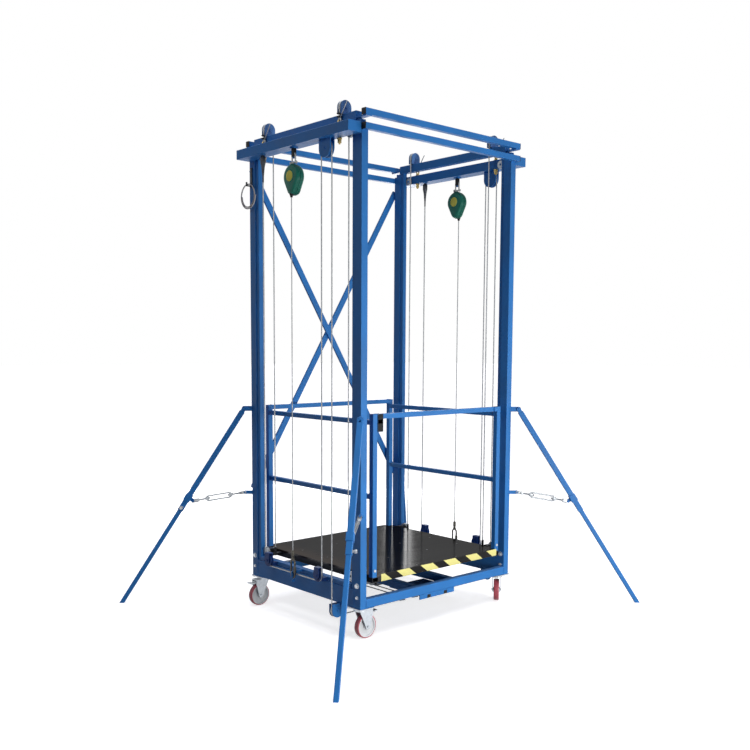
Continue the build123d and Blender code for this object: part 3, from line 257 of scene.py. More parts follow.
def plated(name, bright, dull, smooth=0.3, rough=0.5):
    """Plated or galvanised steel: crystal patches over a fine grain, smoothest where it is bright."""
    patch_size, grain_size = 0.012, 0.0015
    metal, put, spot = new_material(name)
    patch = put("TexNoise", {"Vector": spot, "Scale": 1 / patch_size, "Detail": 4})
    tone = put("Mix", {"Factor": patch, first: dull, second: bright}, data_type="RGBA")
    polish = put("MapRange", {
        "Value": patch, "From Min": 0.3, "From Max": 0.7, "To Min": rough, "To Max": smooth})
    grain = put("TexNoise", {"Vector": spot, "Scale": 1 / grain_size})
    bump = put("Bump", {"Height": grain, "Strength": 0.08, "Distance": 0.0002})
    skin = put("BsdfPrincipled", {"Base Color": tone, "Metallic": 1, "Roughness": polish, "Normal": bump})
    put("OutputMaterial", {"Surface": skin})
    return metal


zinc = plated("zinc_plated_steel", "#C2C7CB", "#959BA1")
dress(zinc, "caster_plates")
for corner in corners:
    dress(zinc, f"caster_fork_{corner}", f"brake_pedal_{corner}")
turned = plated("turned_steel", "#A4A9AE", "#6C7278")
dress(turned, "left_head_sheaves", "right_head_sheaves", "base_sheave_left", "base_sheave_right",
      "turning_sheave_left", "turning_sheave_right", "winch_drum",
      "front_mast_rollers", "rear_mast_rollers", "front_carriage_rollers", "rear_carriage_rollers")
dress(enamel("grey_motor_enamel", "#5A6167", "#2E3236"), "winch_motor")
dress(enamel("black_enamel_on_steel", "#1D1E21", "#101113"), "deck_frame")

# Deck: film-faced board with a black, slightly glossy wear film, its press lines running
# from side to side, rubbed brown along the left edge; it is screwed down on the tube frame.
press_length, press_width, press_depth, tread_size = 0.9, 0.012, 0.05, 0.25
rubbed_from, rubbed_to, film_share = -0.34, -0.47, 0.048
deck_film, put, spot = new_material("black_film_faced_board")
lines = put("Mapping", {"Vector": spot, "Scale": (1 / press_length, 1 / press_width, 1 / press_depth)})
press = put("TexNoise", {"Vector": lines, "Scale": 1, "Detail": 5, "Roughness": 0.6})
tread = put("TexNoise", {"Vector": spot, "Scale": 1 / tread_size, "Detail": 4})
tone = put("Mix", {"Factor": tread, first: "#0E0E0F", second: "#19191A"}, data_type="RGBA")
streak = put("MapRange", {"Value": press, "From Min": 0.45, "From Max": 0.75, "To Max": 0.35})
tone = put("Mix", {"Factor": streak, first: tone, second: "#363432"}, data_type="RGBA")
sideways = put("SeparateXYZ", {"Vector": spot}).outputs["X"]
margin = put("MapRange", {"Value": sideways, "From Min": rubbed_from, "From Max": rubbed_to})
rubbed = put("Math", {0: margin, 1: tread}, operation="MULTIPLY")
tone = put("Mix", {"Factor": rubbed, first: tone, second: "#4A3A2E"}, data_type="RGBA")
polish = put("MapRange", {"Value": press, "From Min": 0.35, "From Max": 0.7, "To Min": 0.07, "To Max": 0.2})
bump = put("Bump", {"Height": press, "Strength": 0.25, "Distance": 0.0008})
core = put("BsdfDiffuse", {"Color": tone, "Normal": bump})
film = put("BsdfGlossy", {"Color": "#FFFFFF", "Roughness": polish, "Normal": bump})
skin = put("MixShader", {"Fac": film_share, 1: core, 2: film})
put("OutputMaterial", {"Surface": skin})
dress(deck_film, "deck_board")

# Hazard tape: yellow and black vinyl stuck along the deck's front edge, 38 mm wide, its
# stripes leaning down to the right, 175 mm from one yellow to the next.
stripe_pitch, stripe_lean, stripe_start, yellow_share, grime_size = 0.175, 1.35, 0.5733, 0.52, 0.02
tape_vinyl, put, spot = new_material("striped_vinyl_tape")
axes = put("SeparateXYZ", {"Vector": spot}).outputs
slant = put("Math", {0: axes["Z"], 1: stripe_lean, 2: axes["X"]}, operation="MULTIPLY_ADD")
phase = put("Math", {0: slant, 1: stripe_start}, operation="ADD")
stripes = put("Math", {0: phase, 1: stripe_pitch}, operation="DIVIDE")
part = put("Math", {0: stripes}, operation="FRACT")
black = put("Math", {0: part, 1: yellow_share}, operation="GREATER_THAN")
grime = put("TexNoise", {"Vector": spot, "Scale": 1 / grime_size, "Detail": 4})
yellow = put("Mix", {"Factor": grime, first: "#F6F0A0", second: "#ECE48A"}, data_type="RGBA")
stripe = put("Mix", {"Factor": black, first: yellow, second: "#0B0B0B"}, data_type="RGBA")
bump = put("Bump", {"Height": grime, "Strength": 0.1, "Distance": 0.0005})
skin = put("BsdfPrincipled", {
    "Base Color": stripe, "Roughness": 0.5, "Specular IOR Level": 0.1, "Normal": bump})
put("OutputMaterial", {"Surface": skin})


def piece(name, bm, material, body, smooth=40):
    """Turn a bmesh into a piece at the origin that rides on a CAD body."""
    mesh = bpy.data.meshes.new(name)
    bm.to_mesh(mesh)
    bm.free()
    mesh.materials.append(material)
    mesh.shade_smooth()
    mesh.set_sharp_from_angle(angle=math.radians(smooth))
    made = bpy.data.objects.new(name, mesh)
    scene.collection.objects.link(made)
    if body:
        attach(made, body)
    return made


def edges_of(verts):
    """The edges that meet some vertices."""
    return list({edge for vert in verts for edge in vert.link_edges})


def bevel(bm, edges, offset, segments=2):
    """Round some edges, or chamfer them with one segment."""
    bmesh.ops.bevel(bm, geom=edges, offset=offset, segments=segments, profile=0.5, affect="EDGES")


def rounded_block(bm, low, high, radius):
    """A cuboid between two corners with its edges rounded."""
    low, high = Vector(low), Vector(high)
    place = Matrix.Translation((low + high) / 2) @ Matrix.Diagonal([*(high - low), 1])
    made = bmesh.ops.create_cube(bm, size=1, matrix=place)["verts"]
    bevel(bm, edges_of(made), radius)


deck_front, deck_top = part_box("deck_board")[0][1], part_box("deck_board")[1][2]
tape_left, tape_right, tape_width, tape_gap = -0.425, 0.468, 0.0377, 0.0008
tape_proud, tape_sunk, tape_round = 0.0008, 0.0005, 0.0004
tape_top = deck_top - tape_gap
bm = bmesh.new()
rounded_block(bm, (tape_left, deck_front - tape_proud, tape_top - tape_width),
              (tape_right, deck_front + tape_sunk, tape_top), tape_round)
piece("hazard_tape", bm, tape_vinyl, "carriage")

# Tie rail plugs: moulded black nylon, pressed into the open ends of the square tie rails,
# with a flat head and a rounded rim.


def mottled(name, dark, pale, cloud, grain, strength, depth, look):
    """A moulded or spun surface: clouds of colour and a bumpy grain, each given by its size and detail."""
    made, put, spot = new_material(name)
    clouds, bumps = (put("TexNoise", {"Vector": spot, "Scale": 1 / size, "Detail": detail})
                     for size, detail in (cloud, grain))
    tone = put("Mix", {"Factor": clouds, first: dark, second: pale}, data_type="RGBA")
    bump = put("Bump", {"Height": bumps, "Strength": strength, "Distance": depth})
    skin = put("BsdfPrincipled", {"Base Color": tone, "Normal": bump, **look})
    put("OutputMaterial", {"Surface": skin})
    return made


nylon = mottled("moulded_black_nylon", "#0C0C0D", "#1A1A1B", cloud=(0.03, 3), grain=(0.0012, 2),
                strength=0.15, depth=0.0002, look={"Roughness": 0.48, "Specular IOR Level": 0.15})
tie_half, tie_y, tie_z, inner_tie_z = 0.015, 0.49, 2.531, 2.598
plug_half, plug_round, plug_inner, plug_outer = 0.0153, 0.0012, 0.5698, 0.5735
for body, middle in (("frame", tie_z), ("inner_mast", inner_tie_z)):
    bm = bmesh.new()
    for side, end in corners.values():
        inner, outer = sorted((side * plug_inner, side * plug_outer))
        y = end * tie_y
        rounded_block(bm, (inner, y - plug_half, middle - plug_half),
                      (outer, y + plug_half, middle + plug_half), plug_round)
    piece(f"tie_plugs_{body}", bm, nylon, body)

# Wire ropes: galvanised steel, six strands laid round a core, 6.8 mm across, with a lay of 40 mm.
# Each length is drawn along its run and round its sheaves; the falls that change length are baked
# into place and ride on no body. They are reeved and taut, so none is a free cord.
galvanised = plated("galvanised_wire_rope", "#A9ABAD", "#6E7174", smooth=0.4, rough=0.6)
left, front, down = Vector((-1, 0, 0)), Vector((0, -1, 0)), Vector((0, 0, -1))
right, back, up = Vector((1, 0, 0)), Vector((0, 1, 0)), Vector((0, 0, 1))
rope_r, rope_lay = 0.0034, 0.04


def facing(place, heading):
    """The matrix that carries a shape on Z to a place and a heading."""
    return Matrix.Translation(place) @ Vector(heading).to_track_quat("Z", "Y").to_matrix().to_4x4()


def rope_ring(bm, place, radius=rope_r, strands=6, per_strand=3, groove=0.24):
    """The lobed cross-section of a stranded rope, put in its place by a matrix."""
    ring = bmesh.ops.create_circle(bm, segments=strands * per_strand, radius=radius, matrix=place)["verts"]
    for vert in ring[::per_strand]:
        vert.co += (place.translation - vert.co) * groove
    return ring + edges_of(ring)


def draw_on(bm, ring, place, heading, length, steps=2):
    """Draw a ring straight on; returns the last ring and its place."""
    heading = Vector(heading).normalized()
    made = bmesh.ops.spin(bm, geom=ring, cent=place, axis=heading, dvec=heading * (length / steps),
                          steps=steps)
    return made["geom_last"], Vector(place) + heading * length


def draw_round(bm, ring, place, centre, axis, degrees, step=0.004):
    """Carry a ring round a centre; returns the last ring and its place."""
    angle = math.radians(degrees)
    reach = Vector(place) - Vector(centre)
    made = bmesh.ops.spin(bm, geom=ring, cent=centre, axis=axis, angle=angle,
                          steps=max(6, round(reach.length * angle / step)))
    return made["geom_last"], Vector(centre) + Matrix.Rotation(angle, 3, Vector(axis)) @ reach


def close_ends(bm):
    """Cap the open ends of drawn ropes or bars and turn the faces outwards."""
    bmesh.ops.holes_fill(bm, edges=[edge for edge in bm.edges if edge.is_boundary])
    bmesh.ops.recalc_face_normals(bm, faces=bm.faces)


def rope_straight(bm, place, heading, length, radius=rope_r, lay=rope_lay, steps=12):
    """A taut length of laid rope: one turn of the lay, doubled until it is long enough, then cut."""
    rope = bmesh.new()
    ring = rope_ring(rope, facing((0, 0, 0), up), radius)
    bmesh.ops.spin(rope, geom=ring, cent=(0, 0, 0), axis=up, dvec=(0, 0, lay / steps),
                   angle=2 * math.pi, steps=steps)
    made = lay
    while made < length:
        copy = bmesh.ops.duplicate(rope, geom=rope.verts[:] + rope.edges[:] + rope.faces[:])["geom"]
        verts = [item for item in copy if isinstance(item, bmesh.types.BMVert)]
        bmesh.ops.translate(rope, vec=(0, 0, made), verts=verts)
        made *= 2
    bmesh.ops.remove_doubles(rope, verts=rope.verts, dist=1e-5)
    bmesh.ops.bisect_plane(rope, geom=rope.verts[:] + rope.edges[:] + rope.faces[:], plane_co=(0, 0, length),
                           plane_no=up, clear_outer=True)
    close_ends(rope)
    bmesh.ops.transform(rope, matrix=facing(place, heading), verts=rope.verts)
    cut = bpy.data.meshes.new("cut_rope")
    rope.to_mesh(cut)
    rope.free()
    bm.from_mesh(cut)
    bpy.data.meshes.remove(cut)


def rope_piece(name, bm, body=None):
    """A finished rope, riding on a body where one is named."""
    return piece(name, bm, galvanised, body, 80)


def stretching_rope(name, bm):
    """A finished rope between two bodies, baked into place on neither of them."""
    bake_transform(rope_piece(name, bm))


pivots = {joint["name"]: joint.get("pos_m") for joint in frame["joints"]}
base_x, base_y, base_z = pivots["base_sheave_right_turn"]
turning_y, lead_z = pivots["turning_sheave_right_turn"][1:]
drum_y, drum_z = pivots["drum_turn"][1:]
snatch_y, snatch_z = pivots["snatch_sheaves_turn"][1:]
front_y, low_z = pivots["lower_front_sheaves_turn"][1:]
rear_y = pivots["lower_rear_sheaves_turn"][1]
block_r, turning_r, snatch_r = 0.03, 0.025, 0.041  # from a sheave's centre to the rope's
rope_x, dead_z = base_x + block_r, 2.36
drum_turns, drum_steps, first_turn = 2, 72, 0.007
pitch_step = 2 * rope_r * drum_turns / drum_steps
lead, low, moving, dead, winding = (bmesh.new() for _ in range(5))
for side, hand in ((-1, "left"), (1, "right")):
    turning_x = pivots[f"turning_sheave_{hand}_turn"][0]
    x, lead_x = side * rope_x, turning_x - side * turning_r
    for place, heading, centre, axis, degrees in (
        ((lead_x, turning_y, lead_z), front, (turning_x, turning_y, lead_z), (0, 0, side), 90),
        ((side * base_x, base_y, lead_z), (side, 0, 0), (side * base_x, base_y, base_z), (0, -side, 0), 90),
        ((x, base_y, snatch_z), up, (x, snatch_y, snatch_z), left, 180),
    ):
        draw_round(lead, rope_ring(lead, facing(place, heading)), place, centre, axis, degrees)
    for place, heading, turn_y in (((x, front_y - block_r, low_z), down, front_y),
                                   ((x, rear_y, low_z - block_r), back, rear_y)):
        draw_round(low, rope_ring(low, facing(place, heading)), place, (x, turn_y, low_z), right, 90)
    first_x = lead_x - side * first_turn
    ring = rope_ring(winding, facing((first_x, drum_y, drum_z - turning_r), back))
    bmesh.ops.spin(winding, geom=ring, cent=(first_x, drum_y, drum_z), axis=right,
                   angle=2 * math.pi * drum_turns, dvec=(-side * pitch_step, 0, 0), steps=drum_steps)
    rope_straight(lead, (lead_x, drum_y, lead_z), front, drum_y - turning_y)
    rope_straight(lead, (turning_x, base_y, lead_z), (side, 0, 0), abs(side * base_x - turning_x))
    rope_straight(lead, (x, base_y, base_z), up, snatch_z - base_z)
    rope_straight(moving, (x, snatch_y + snatch_r, snatch_z), down, snatch_z - low_z)
    rope_straight(low, (x, front_y, low_z - block_r), back, rear_y - front_y)
    rope_straight(dead, (x, rear_y + block_r, low_z), up, dead_z - low_z)
for bm in (lead, low, winding):
    close_ends(bm)
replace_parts(rope_piece("hoist_rope_leads", lead, "frame"), "wire_ropes")
rope_piece("hoist_rope_low_runs", low, "inner_mast")
rope_piece("hoist_rope_on_drum", winding, "winch_drum")
stretching_rope("hoist_rope_falls", moving)
stretching_rope("hoist_rope_dead_falls", dead)

head_x, _, head_z = pivots["right_head_sheaves_turn"]
anchor_x, fall_x, carriage_y = head_x + block_r, head_x - block_r, 0.32
beam_under, beam_top = 2.5, 2.55
anchor_z, deck_end_z = beam_top + 0.032, 0.35
line_x, line_y, line_top, line_end = 0.628, 0.01, 2.262, 0.398
line_r, line_lay = 0.0028, 0.032
anchor, head, drop, line = (bmesh.new() for _ in range(4))
for side in (-1, 1):
    for end in (-1, 1):
        y = end * carriage_y
        rope_straight(anchor, (side * anchor_x, y, anchor_z), up, head_z - anchor_z)
        at = Vector((side * anchor_x, y, head_z))
        draw_round(head, rope_ring(head, facing(at, up)), at, (side * head_x, y, head_z), (0, -side, 0), 180)
        rope_straight(drop, (side * fall_x, y, head_z), down, head_z - deck_end_z)
    rope_straight(line, (side * line_x, line_y, line_top), down, line_top - line_end, line_r, line_lay)
close_ends(head)
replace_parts(rope_piece("carriage_rope_crowns", head, "inner_mast"), "carriage_ropes")
stretching_rope("carriage_rope_anchors", anchor)
stretching_rope("carriage_rope_falls", drop)
stretching_rope("arrester_lanyards", line)

# Caster wheels: a cast hub in pale enamel with a red polyurethane tread moulded on it, 125 mm
# across; the hub turns on the fork's axle.
hub_paint = enamel("pale_hub_enamel", "#DCDFE0", "#AEB1B3")
urethane = mottled("red_polyurethane", "#A2404C", "#C85E6A", cloud=(0.015, 5), grain=(0.015, 5),
                   strength=0.1, depth=0.0006, look={"Roughness": 0.42, "Subsurface Weight": 0.05,
                                                     "Subsurface Radius": (0.004, 0.002, 0.002)})


def lathe(bm, profile, centre, axis, across, steps=40):
    """Turn a profile of (radius, distance along the axis); one that starts off the axis is a ring."""
    axis, across = Vector(axis), Vector(across)
    ring = [bm.verts.new(Vector(centre) + across * r + axis * d) for r, d in profile]
    following = ring[1:] + ring[:1] if profile[0][0] > 0 else ring[1:]
    edges = [bm.edges.new((a, b)) for a, b in zip(ring, following)]
    bmesh.ops.spin(bm, geom=ring + edges, cent=centre, axis=axis, angle=2 * math.pi, steps=steps,
                   use_merge=True)
    bmesh.ops.remove_doubles(bm, verts=bm.verts, dist=1e-6)
    bmesh.ops.recalc_face_normals(bm, faces=bm.faces)


def both_ways(half):
    """A whole profile from the half of it on one side of its middle."""
    return [(r, -d) for r, d in half] + [(r, d) for r, d in reversed(half)]


wheel_r, trail = 0.0625, 0.035
tread_half = [(0.0565, 0.015), (0.059, 0.0154), (0.0608, 0.0144), (0.062, 0.012), (wheel_r, 0.0085)]
hub_half = [(0.0062, 0.019), (0.013, 0.019), (0.014, 0.0182), (0.0165, 0.009), (0.02, 0.0075),
            (0.045, 0.0075), (0.0475, 0.009), (0.0488, 0.0138), (0.05, 0.0148), (0.0566, 0.0148)]
swivel_x, swivel_y, _ = pivots["rear_right_caster_swivel"]
caster_turns = {"fl": 0, "fr": 40, "rl": 180, "rr": 90}
for corner, (side, end) in corners.items():
    wheel = f"caster_wheel_{corner}"
    spin = Matrix.Rotation(math.radians(caster_turns[corner]), 3, "Z")
    centre = Vector((side * swivel_x, end * swivel_y, wheel_r)) + spin @ Vector((trail, 0, 0))
    for name, half, coat, steps in (("tread", tread_half, urethane, 64), ("hub", hub_half, hub_paint, 48)):
        bm = bmesh.new()
        lathe(bm, both_ways(half), centre, spin @ back, spin @ right, steps)
        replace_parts(piece(f"caster_{name}_{corner}", bm, coat, wheel), wheel)

# Fall arresters: glass-filled nylon housings in two halves, moulded dark green with a fine
# texture, bolted round the lanyard's reel and hung from the top beams.
green_nylon = mottled("moulded_green_nylon", "#0F6656", "#148069", cloud=(0.05, 3), grain=(0.0015, 2),
                      strength=0.2, depth=0.0003,
                      look={"Roughness": 0.4, "Specular IOR Level": 0.25})
housing_x, housing_low = 0.612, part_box("fall_arresters")[0][2]
belly, crown, nose = (0.092, 0.06), (0.138, 0.018), (0.031, 0.031)  # height and radius of each circle
shell_half, shell_round, disc_z = 0.028, 0.015, housing_low + 0.094
seam_half, seam_proud = 0.0025, 0.0028
rib_away, rib_half, rib_proud, rib_round = 0.0095, 0.002, 0.0016, 0.0007
bezel = [(0, 0.0295), (0.0278, 0.0295), (0.0284, 0.0305), (0.0298, 0.0305), (0.031, 0.0293),
         (0.032, 0.026), (0, 0.026)]
disc = [(0, 0.0303), (0.0258, 0.0303), (0.0272, 0.0299), (0.0274, 0.0292), (0, 0.0292)]
nozzle = [(0.0024, -0.013), (0.0055, -0.013), (0.0068, -0.011), (0.007, -0.006), (0.0098, -0.002),
          (0.011, 0.008), (0.0024, 0.008)]
strap_x, strap_y, strap_low, strap_top, strap_round = 0.009, 0.011, 2.452, 2.4975, 0.0025


def egg(bm, across, low, high, grow):
    """Hull of the three circles of a housing's outline, between two planes across X."""
    rims = []
    for x in (low, high):
        for height, radius in (belly, crown, nose):
            place = Matrix.Translation((across + x, line_y, housing_low + height))
            rims += bmesh.ops.create_circle(bm, segments=56, radius=radius + grow,
                                            matrix=place @ Matrix.Rotation(math.pi / 2, 4, "Y"))["verts"]
    hull = bmesh.ops.convex_hull(bm, input=rims)
    spare = hull["geom_interior"] + hull["geom_unused"]
    spare = {item for item in spare if isinstance(item, bmesh.types.BMVert)}
    bmesh.ops.delete(bm, geom=list(spare), context="VERTS")


def round_rims(bm, radius, segments):
    """Join each housing's flat faces and round the rims between them and the wall."""
    bmesh.ops.dissolve_limit(bm, angle_limit=math.radians(1), verts=bm.verts, edges=bm.edges)
    rims = [edge for edge in bm.edges if abs(edge.verts[0].co.x - edge.verts[1].co.x) < 1e-6]
    bevel(bm, rims, radius, segments)
    bmesh.ops.recalc_face_normals(bm, faces=bm.faces)


shells, ribs, discs, nozzles = (bmesh.new() for _ in range(4))
for side in (-1, 1):
    egg(shells, side * housing_x, -shell_half, shell_half, 0)
    egg(ribs, side * housing_x, -seam_half, seam_half, seam_proud)
    for away in (-rib_away, rib_away):
        egg(ribs, side * housing_x, away - rib_half, away + rib_half, rib_proud)
round_rims(shells, shell_round, 6)
round_rims(ribs, rib_round, 2)
for side in (-1, 1):
    for face in (-1, 1):
        centre = (side * housing_x, line_y, disc_z)
        lathe(shells, bezel, centre, (face, 0, 0), up, 48)
        lathe(discs, disc, centre, (face, 0, 0), up, 48)
    lathe(nozzles, nozzle, (side * line_x, line_y, housing_low), up, right, 32)
    rounded_block(nozzles, (side * housing_x - strap_x, line_y - strap_y, strap_low),
                  (side * housing_x + strap_x, line_y + strap_y, strap_top), strap_round)
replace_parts(piece("arrester_housings", shells, green_nylon, "frame", 30), "fall_arresters")
piece("arrester_ribs", ribs, green_nylon, "frame", 30)
piece("arrester_nozzles", nozzles, nylon, "frame", 30)
yellow_enamel = enamel("yellow_disc_enamel", "#FFF06A", "#D2C24E")
piece("arrester_discs", discs, yellow_enamel, "frame", 30)

# Arrester shackles: bent from galvanised round bar, closed by a pin through the black strap
# that hangs each arrester from its beam.


def bar_ring(bm, place, radius, turn=Matrix.Identity(4)):
    """The round cross-section of a bar, flat on XY before its turn."""
    place = Matrix.Translation(place) @ turn
    ring = bmesh.ops.create_circle(bm, segments=14, radius=radius, matrix=place)["verts"]
    return ring + edges_of(ring)


bow_half, bow_top, bow_foot, bow_r = 0.0135, 2.46, 2.424, 0.0042
shackle_pin = [(0, -0.023), (0.0075, -0.023), (0.008, -0.022), (0.008, -0.019), (0.0045, -0.0185),
               (0.0045, 0.0185), (0.0085, 0.019), (0.0085, 0.025), (0.0075, 0.026), (0, 0.026)]
shackles = bmesh.new()
for side in (-1, 1):
    x = side * housing_x
    at = Vector((x, line_y - bow_half, bow_foot))
    ring, at = draw_on(shackles, bar_ring(shackles, at, bow_r), at, up, bow_top - bow_foot)
    ring, at = draw_round(shackles, ring, at, (x, line_y, bow_top), left, 180)
    draw_on(shackles, ring, at, down, bow_top - bow_foot)
    lathe(shackles, shackle_pin, (x, line_y, bow_foot), back, up, 24)
close_ends(shackles)
piece("arrester_shackles", shackles, galvanised, "frame")

# Snap hooks: drop-forged steel, dark from heat treatment; a swivel barrel crimped on
# the lanyard, a bow through the mast's lug, and a sprung gate with its locking sleeve.
forged = plated("forged_steel", "#5C5A53", "#2A2926", smooth=0.35, rough=0.55)


def bar_link(bm, start, centres, radius, way, axis, turn=Matrix.Identity(4)):
    """A long closed link of round bar: two straight sides joined by half turns round two centres."""
    far, near = (Vector(centre) for centre in centres)
    length = (far - near).length
    ring, at = draw_on(bm, bar_ring(bm, start, radius, turn), start, way, length)
    ring, at = draw_round(bm, ring, at, far, axis, 180)
    ring, at = draw_on(bm, ring, at, -way, length)
    draw_round(bm, ring, at, near, axis, 180)
    bmesh.ops.remove_doubles(bm, verts=bm.verts, dist=1e-5)


hook_half, hook_low, hook_high, hook_r = 0.016, 0.2682, 0.334, 0.0048
gate_sleeve = [(0.005, 0.012), (0.0072, 0.012), (0.0078, 0.014), (0.0078, 0.04), (0.0072, 0.042),
               (0.005, 0.042)]
swivel_barrel = [(0.0024, 0.346), (0.008, 0.346), (0.0096, 0.349), (0.0096, 0.357), (0.007, 0.36),
                 (0.007, 0.366), (0.0088, 0.368), (0.0088, 0.392), (0.006, 0.399), (0.0024, 0.399)]
hooks = bmesh.new()
for side in (-1, 1):
    x = side * line_x
    centres = ((x, line_y, hook_low), (x, line_y, hook_high))
    bar_link(hooks, (x, line_y - hook_half, hook_high), centres, hook_r, down, right)
    lathe(hooks, gate_sleeve, (x, line_y - hook_half, hook_low), up, right, 24)
    lathe(hooks, swivel_barrel, (x, line_y, 0), up, right, 28)
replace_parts(piece("snap_hooks", hooks, forged, "inner_mast"), "lanyard_hooks")

# Turnbuckles: hot-dip galvanised, an open forged body with a left-hand and a right-hand rod, a
# jaw on the post's lug and an open hook on the leg's collar; each leg has a locking pin.
hot_dip = plated("hot_dip_galvanised_steel", "#B4B8BB", "#7A7F84", smooth=0.32, rough=0.55)
pivot_x, pivot_y, pivot_z = pivots["rear_right_outrigger_swing"]
tie_pivot_z = pivots["rear_right_turnbuckle_swing"][2]
reach_x, reach_y, collar_z, collar_away, lock_z = 0.54, 0.475, 0.618, 0.035, 0.562
reach = math.hypot(reach_x, reach_y)
leg_length = math.hypot(reach, pivot_z)
lean_sin, lean_cos = reach / leg_length, pivot_z / leg_length
run = (pivot_z - collar_z) * lean_sin / lean_cos
far = Vector((run - collar_away * lean_cos, 0, collar_z - tie_pivot_z - collar_away * lean_sin))
tie_length = far.length
body_low, body_high, body_half, body_r = 0.078, tie_length - 0.076, 0.0135, 0.0046
boss_in, rod_r, rod_in, rod_low, rod_high = 0.004, 0.005, 0.024, 0.034, tie_length - 0.029
boss_half = [(0.0045, 0.011), (0.0075, 0.011), (0.009, 0.008)]
jaw_low, jaw_high, jaw_half, jaw_tall, jaw_gap, jaw_reach = 0.014, 0.037, 0.0096, 0.008, 0.0057, 0.03
eye_bore, eye_rim, eye_r, eye_round = 0.0042, 0.007, 0.008, 0.0008
hook_back, hook_in, hook_out, hook_lip = tie_length - 0.031, tie_length - 0.0067, tie_length + 0.01, 0.0067
hook_away, hook_thick, hook_under, hook_over = 0.0075, 0.002, 0.011, 0.009
root_low, root_high, root_half, root_tall = tie_length - 0.034, tie_length - 0.021, 0.0094, 0.009
heavy_round, plate_round = 0.0022, 0.0012
lock_pin = [(0, 0.014), (0.0086, 0.014), (0.0092, 0.0155), (0.0056, 0.0185), (0.0056, 0.0245),
            (0.0088, 0.0248), (0.0096, 0.0262), (0.0096, 0.0352), (0.0086, 0.0374), (0, 0.0376)]


def thread(start, finish, radius, pitch=0.002, depth=0.0007):
    """Profile of a rod with rounded thread ridges, from one end to the other."""
    ridges = round((finish - start) / pitch)
    crest = [(radius - depth * (count % 2), start + count * pitch / 2) for count in range(2 * ridges + 1)]
    return [(0, start)] + crest + [(0, crest[-1][1])]


for corner, (side, end) in corners.items():
    out = Vector((side * reach_x, end * reach_y, 0)).normalized()
    across = up.cross(out)
    bm = bmesh.new()
    centres = ((body_high - body_half, 0, 0), (body_low + body_half, 0, 0))
    bar_link(bm, (body_low + body_half, 0, body_half), centres, body_r, right, back,
             Matrix.Rotation(math.pi / 2, 4, "Y"))
    for middle in (body_low + boss_in, body_high - boss_in):
        lathe(bm, both_ways(boss_half), (middle, 0, 0), right, up, 28)
    lathe(bm, thread(rod_low, body_low + rod_in, rod_r), (0, 0, 0), right, up, 20)
    lathe(bm, thread(body_high - rod_in, rod_high, rod_r), (0, 0, 0), right, up, 20)
    rounded_block(bm, (jaw_low, -jaw_half, -jaw_tall), (jaw_high, jaw_half, jaw_tall), heavy_round)
    for way in (-1, 1):
        inner, outer = sorted((way * jaw_gap, way * jaw_half))
        rounded_block(bm, (0, inner, -jaw_tall), (jaw_reach, outer, jaw_tall), plate_round)
        jaw_eye = [(eye_bore, inner), (eye_rim, inner), (eye_r, inner + eye_round),
                   (eye_r, outer - eye_round), (eye_rim, outer), (eye_bore, outer)]
        lathe(bm, jaw_eye, (0, 0, 0), back, up, 28)
        near, away = way * hook_away - hook_thick, way * hook_away + hook_thick
        rounded_block(bm, (hook_back, near, -hook_under), (hook_in, away, hook_over), plate_round)
        rounded_block(bm, (hook_back, near, -hook_under), (hook_out, away, -hook_lip), plate_round)
    rounded_block(bm, (root_low, -root_half, -root_tall), (root_high, root_half, root_tall), heavy_round)
    foot = Matrix.Translation((side * pivot_x, end * pivot_y, tie_pivot_z))
    upright = Matrix((out, across, up)).transposed().to_4x4()
    slope = Matrix.Rotation(math.atan2(-far.z, far.x), 4, "Y")
    bmesh.ops.transform(bm, matrix=foot @ upright @ slope, verts=bm.verts)
    tie = piece(f"turnbuckle_body_{corner}", bm, hot_dip, f"turnbuckle_{corner}")
    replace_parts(tie, f"turnbuckle_{corner}")

    leg_way = out * lean_sin - up * lean_cos
    leg_turn = Matrix((across, leg_way.cross(across), leg_way)).transposed().to_4x4()
    leg = Matrix.Translation((side * pivot_x, end * pivot_y, pivot_z)) @ leg_turn
    bm = bmesh.new()
    lathe(bm, lock_pin, (0, 0, (pivot_z - lock_z) / lean_cos), right, up, 28)
    bmesh.ops.transform(bm, matrix=leg, verts=bm.verts)
    piece(f"leg_lock_pin_{corner}", bm, hot_dip, f"outrigger_upper_{corner}")

# Rigging: eyebolts in yellow passivated zinc through the top beams with nuts and washers, dark clips
# on the tails of the carriage ropes, and tapered dead-end sockets for the hoist ropes.
passivated = plated("yellow_passivated_zinc", "#CDB678", "#8E7C4A")
dark_steel = plated("blackened_steel", "#4A4D52", "#26282C", smooth=0.4, rough=0.6)


def hexagon(bm, place, axis, flats, thick, chamfer=0.07):
    """A hexagon nut or bolt head standing on a face, its outer rim chamfered."""
    place, axis = Vector(place), Vector(axis)
    corner_r = flats / math.sqrt(3)
    made = bmesh.ops.create_cone(bm, cap_ends=True, segments=6, radius1=corner_r, radius2=corner_r,
                                 depth=thick, matrix=facing(place + axis * thick / 2, axis))["verts"]
    rim = [edge for edge in edges_of(made)
           if all((vert.co - place).dot(axis) > thick / 2 for vert in edge.verts)]
    bevel(bm, rim, flats * chamfer, segments=1)


def washer(bm, place, axis, across, radius, bore, thick):
    """A washer or spacer standing on a face, its outer rim chamfered."""
    chamfer = thick * 0.3
    lathe(bm, [(bore, 0), (radius, 0), (radius, thick - chamfer), (radius - chamfer, thick), (bore, thick)],
          place, axis, across, 24)


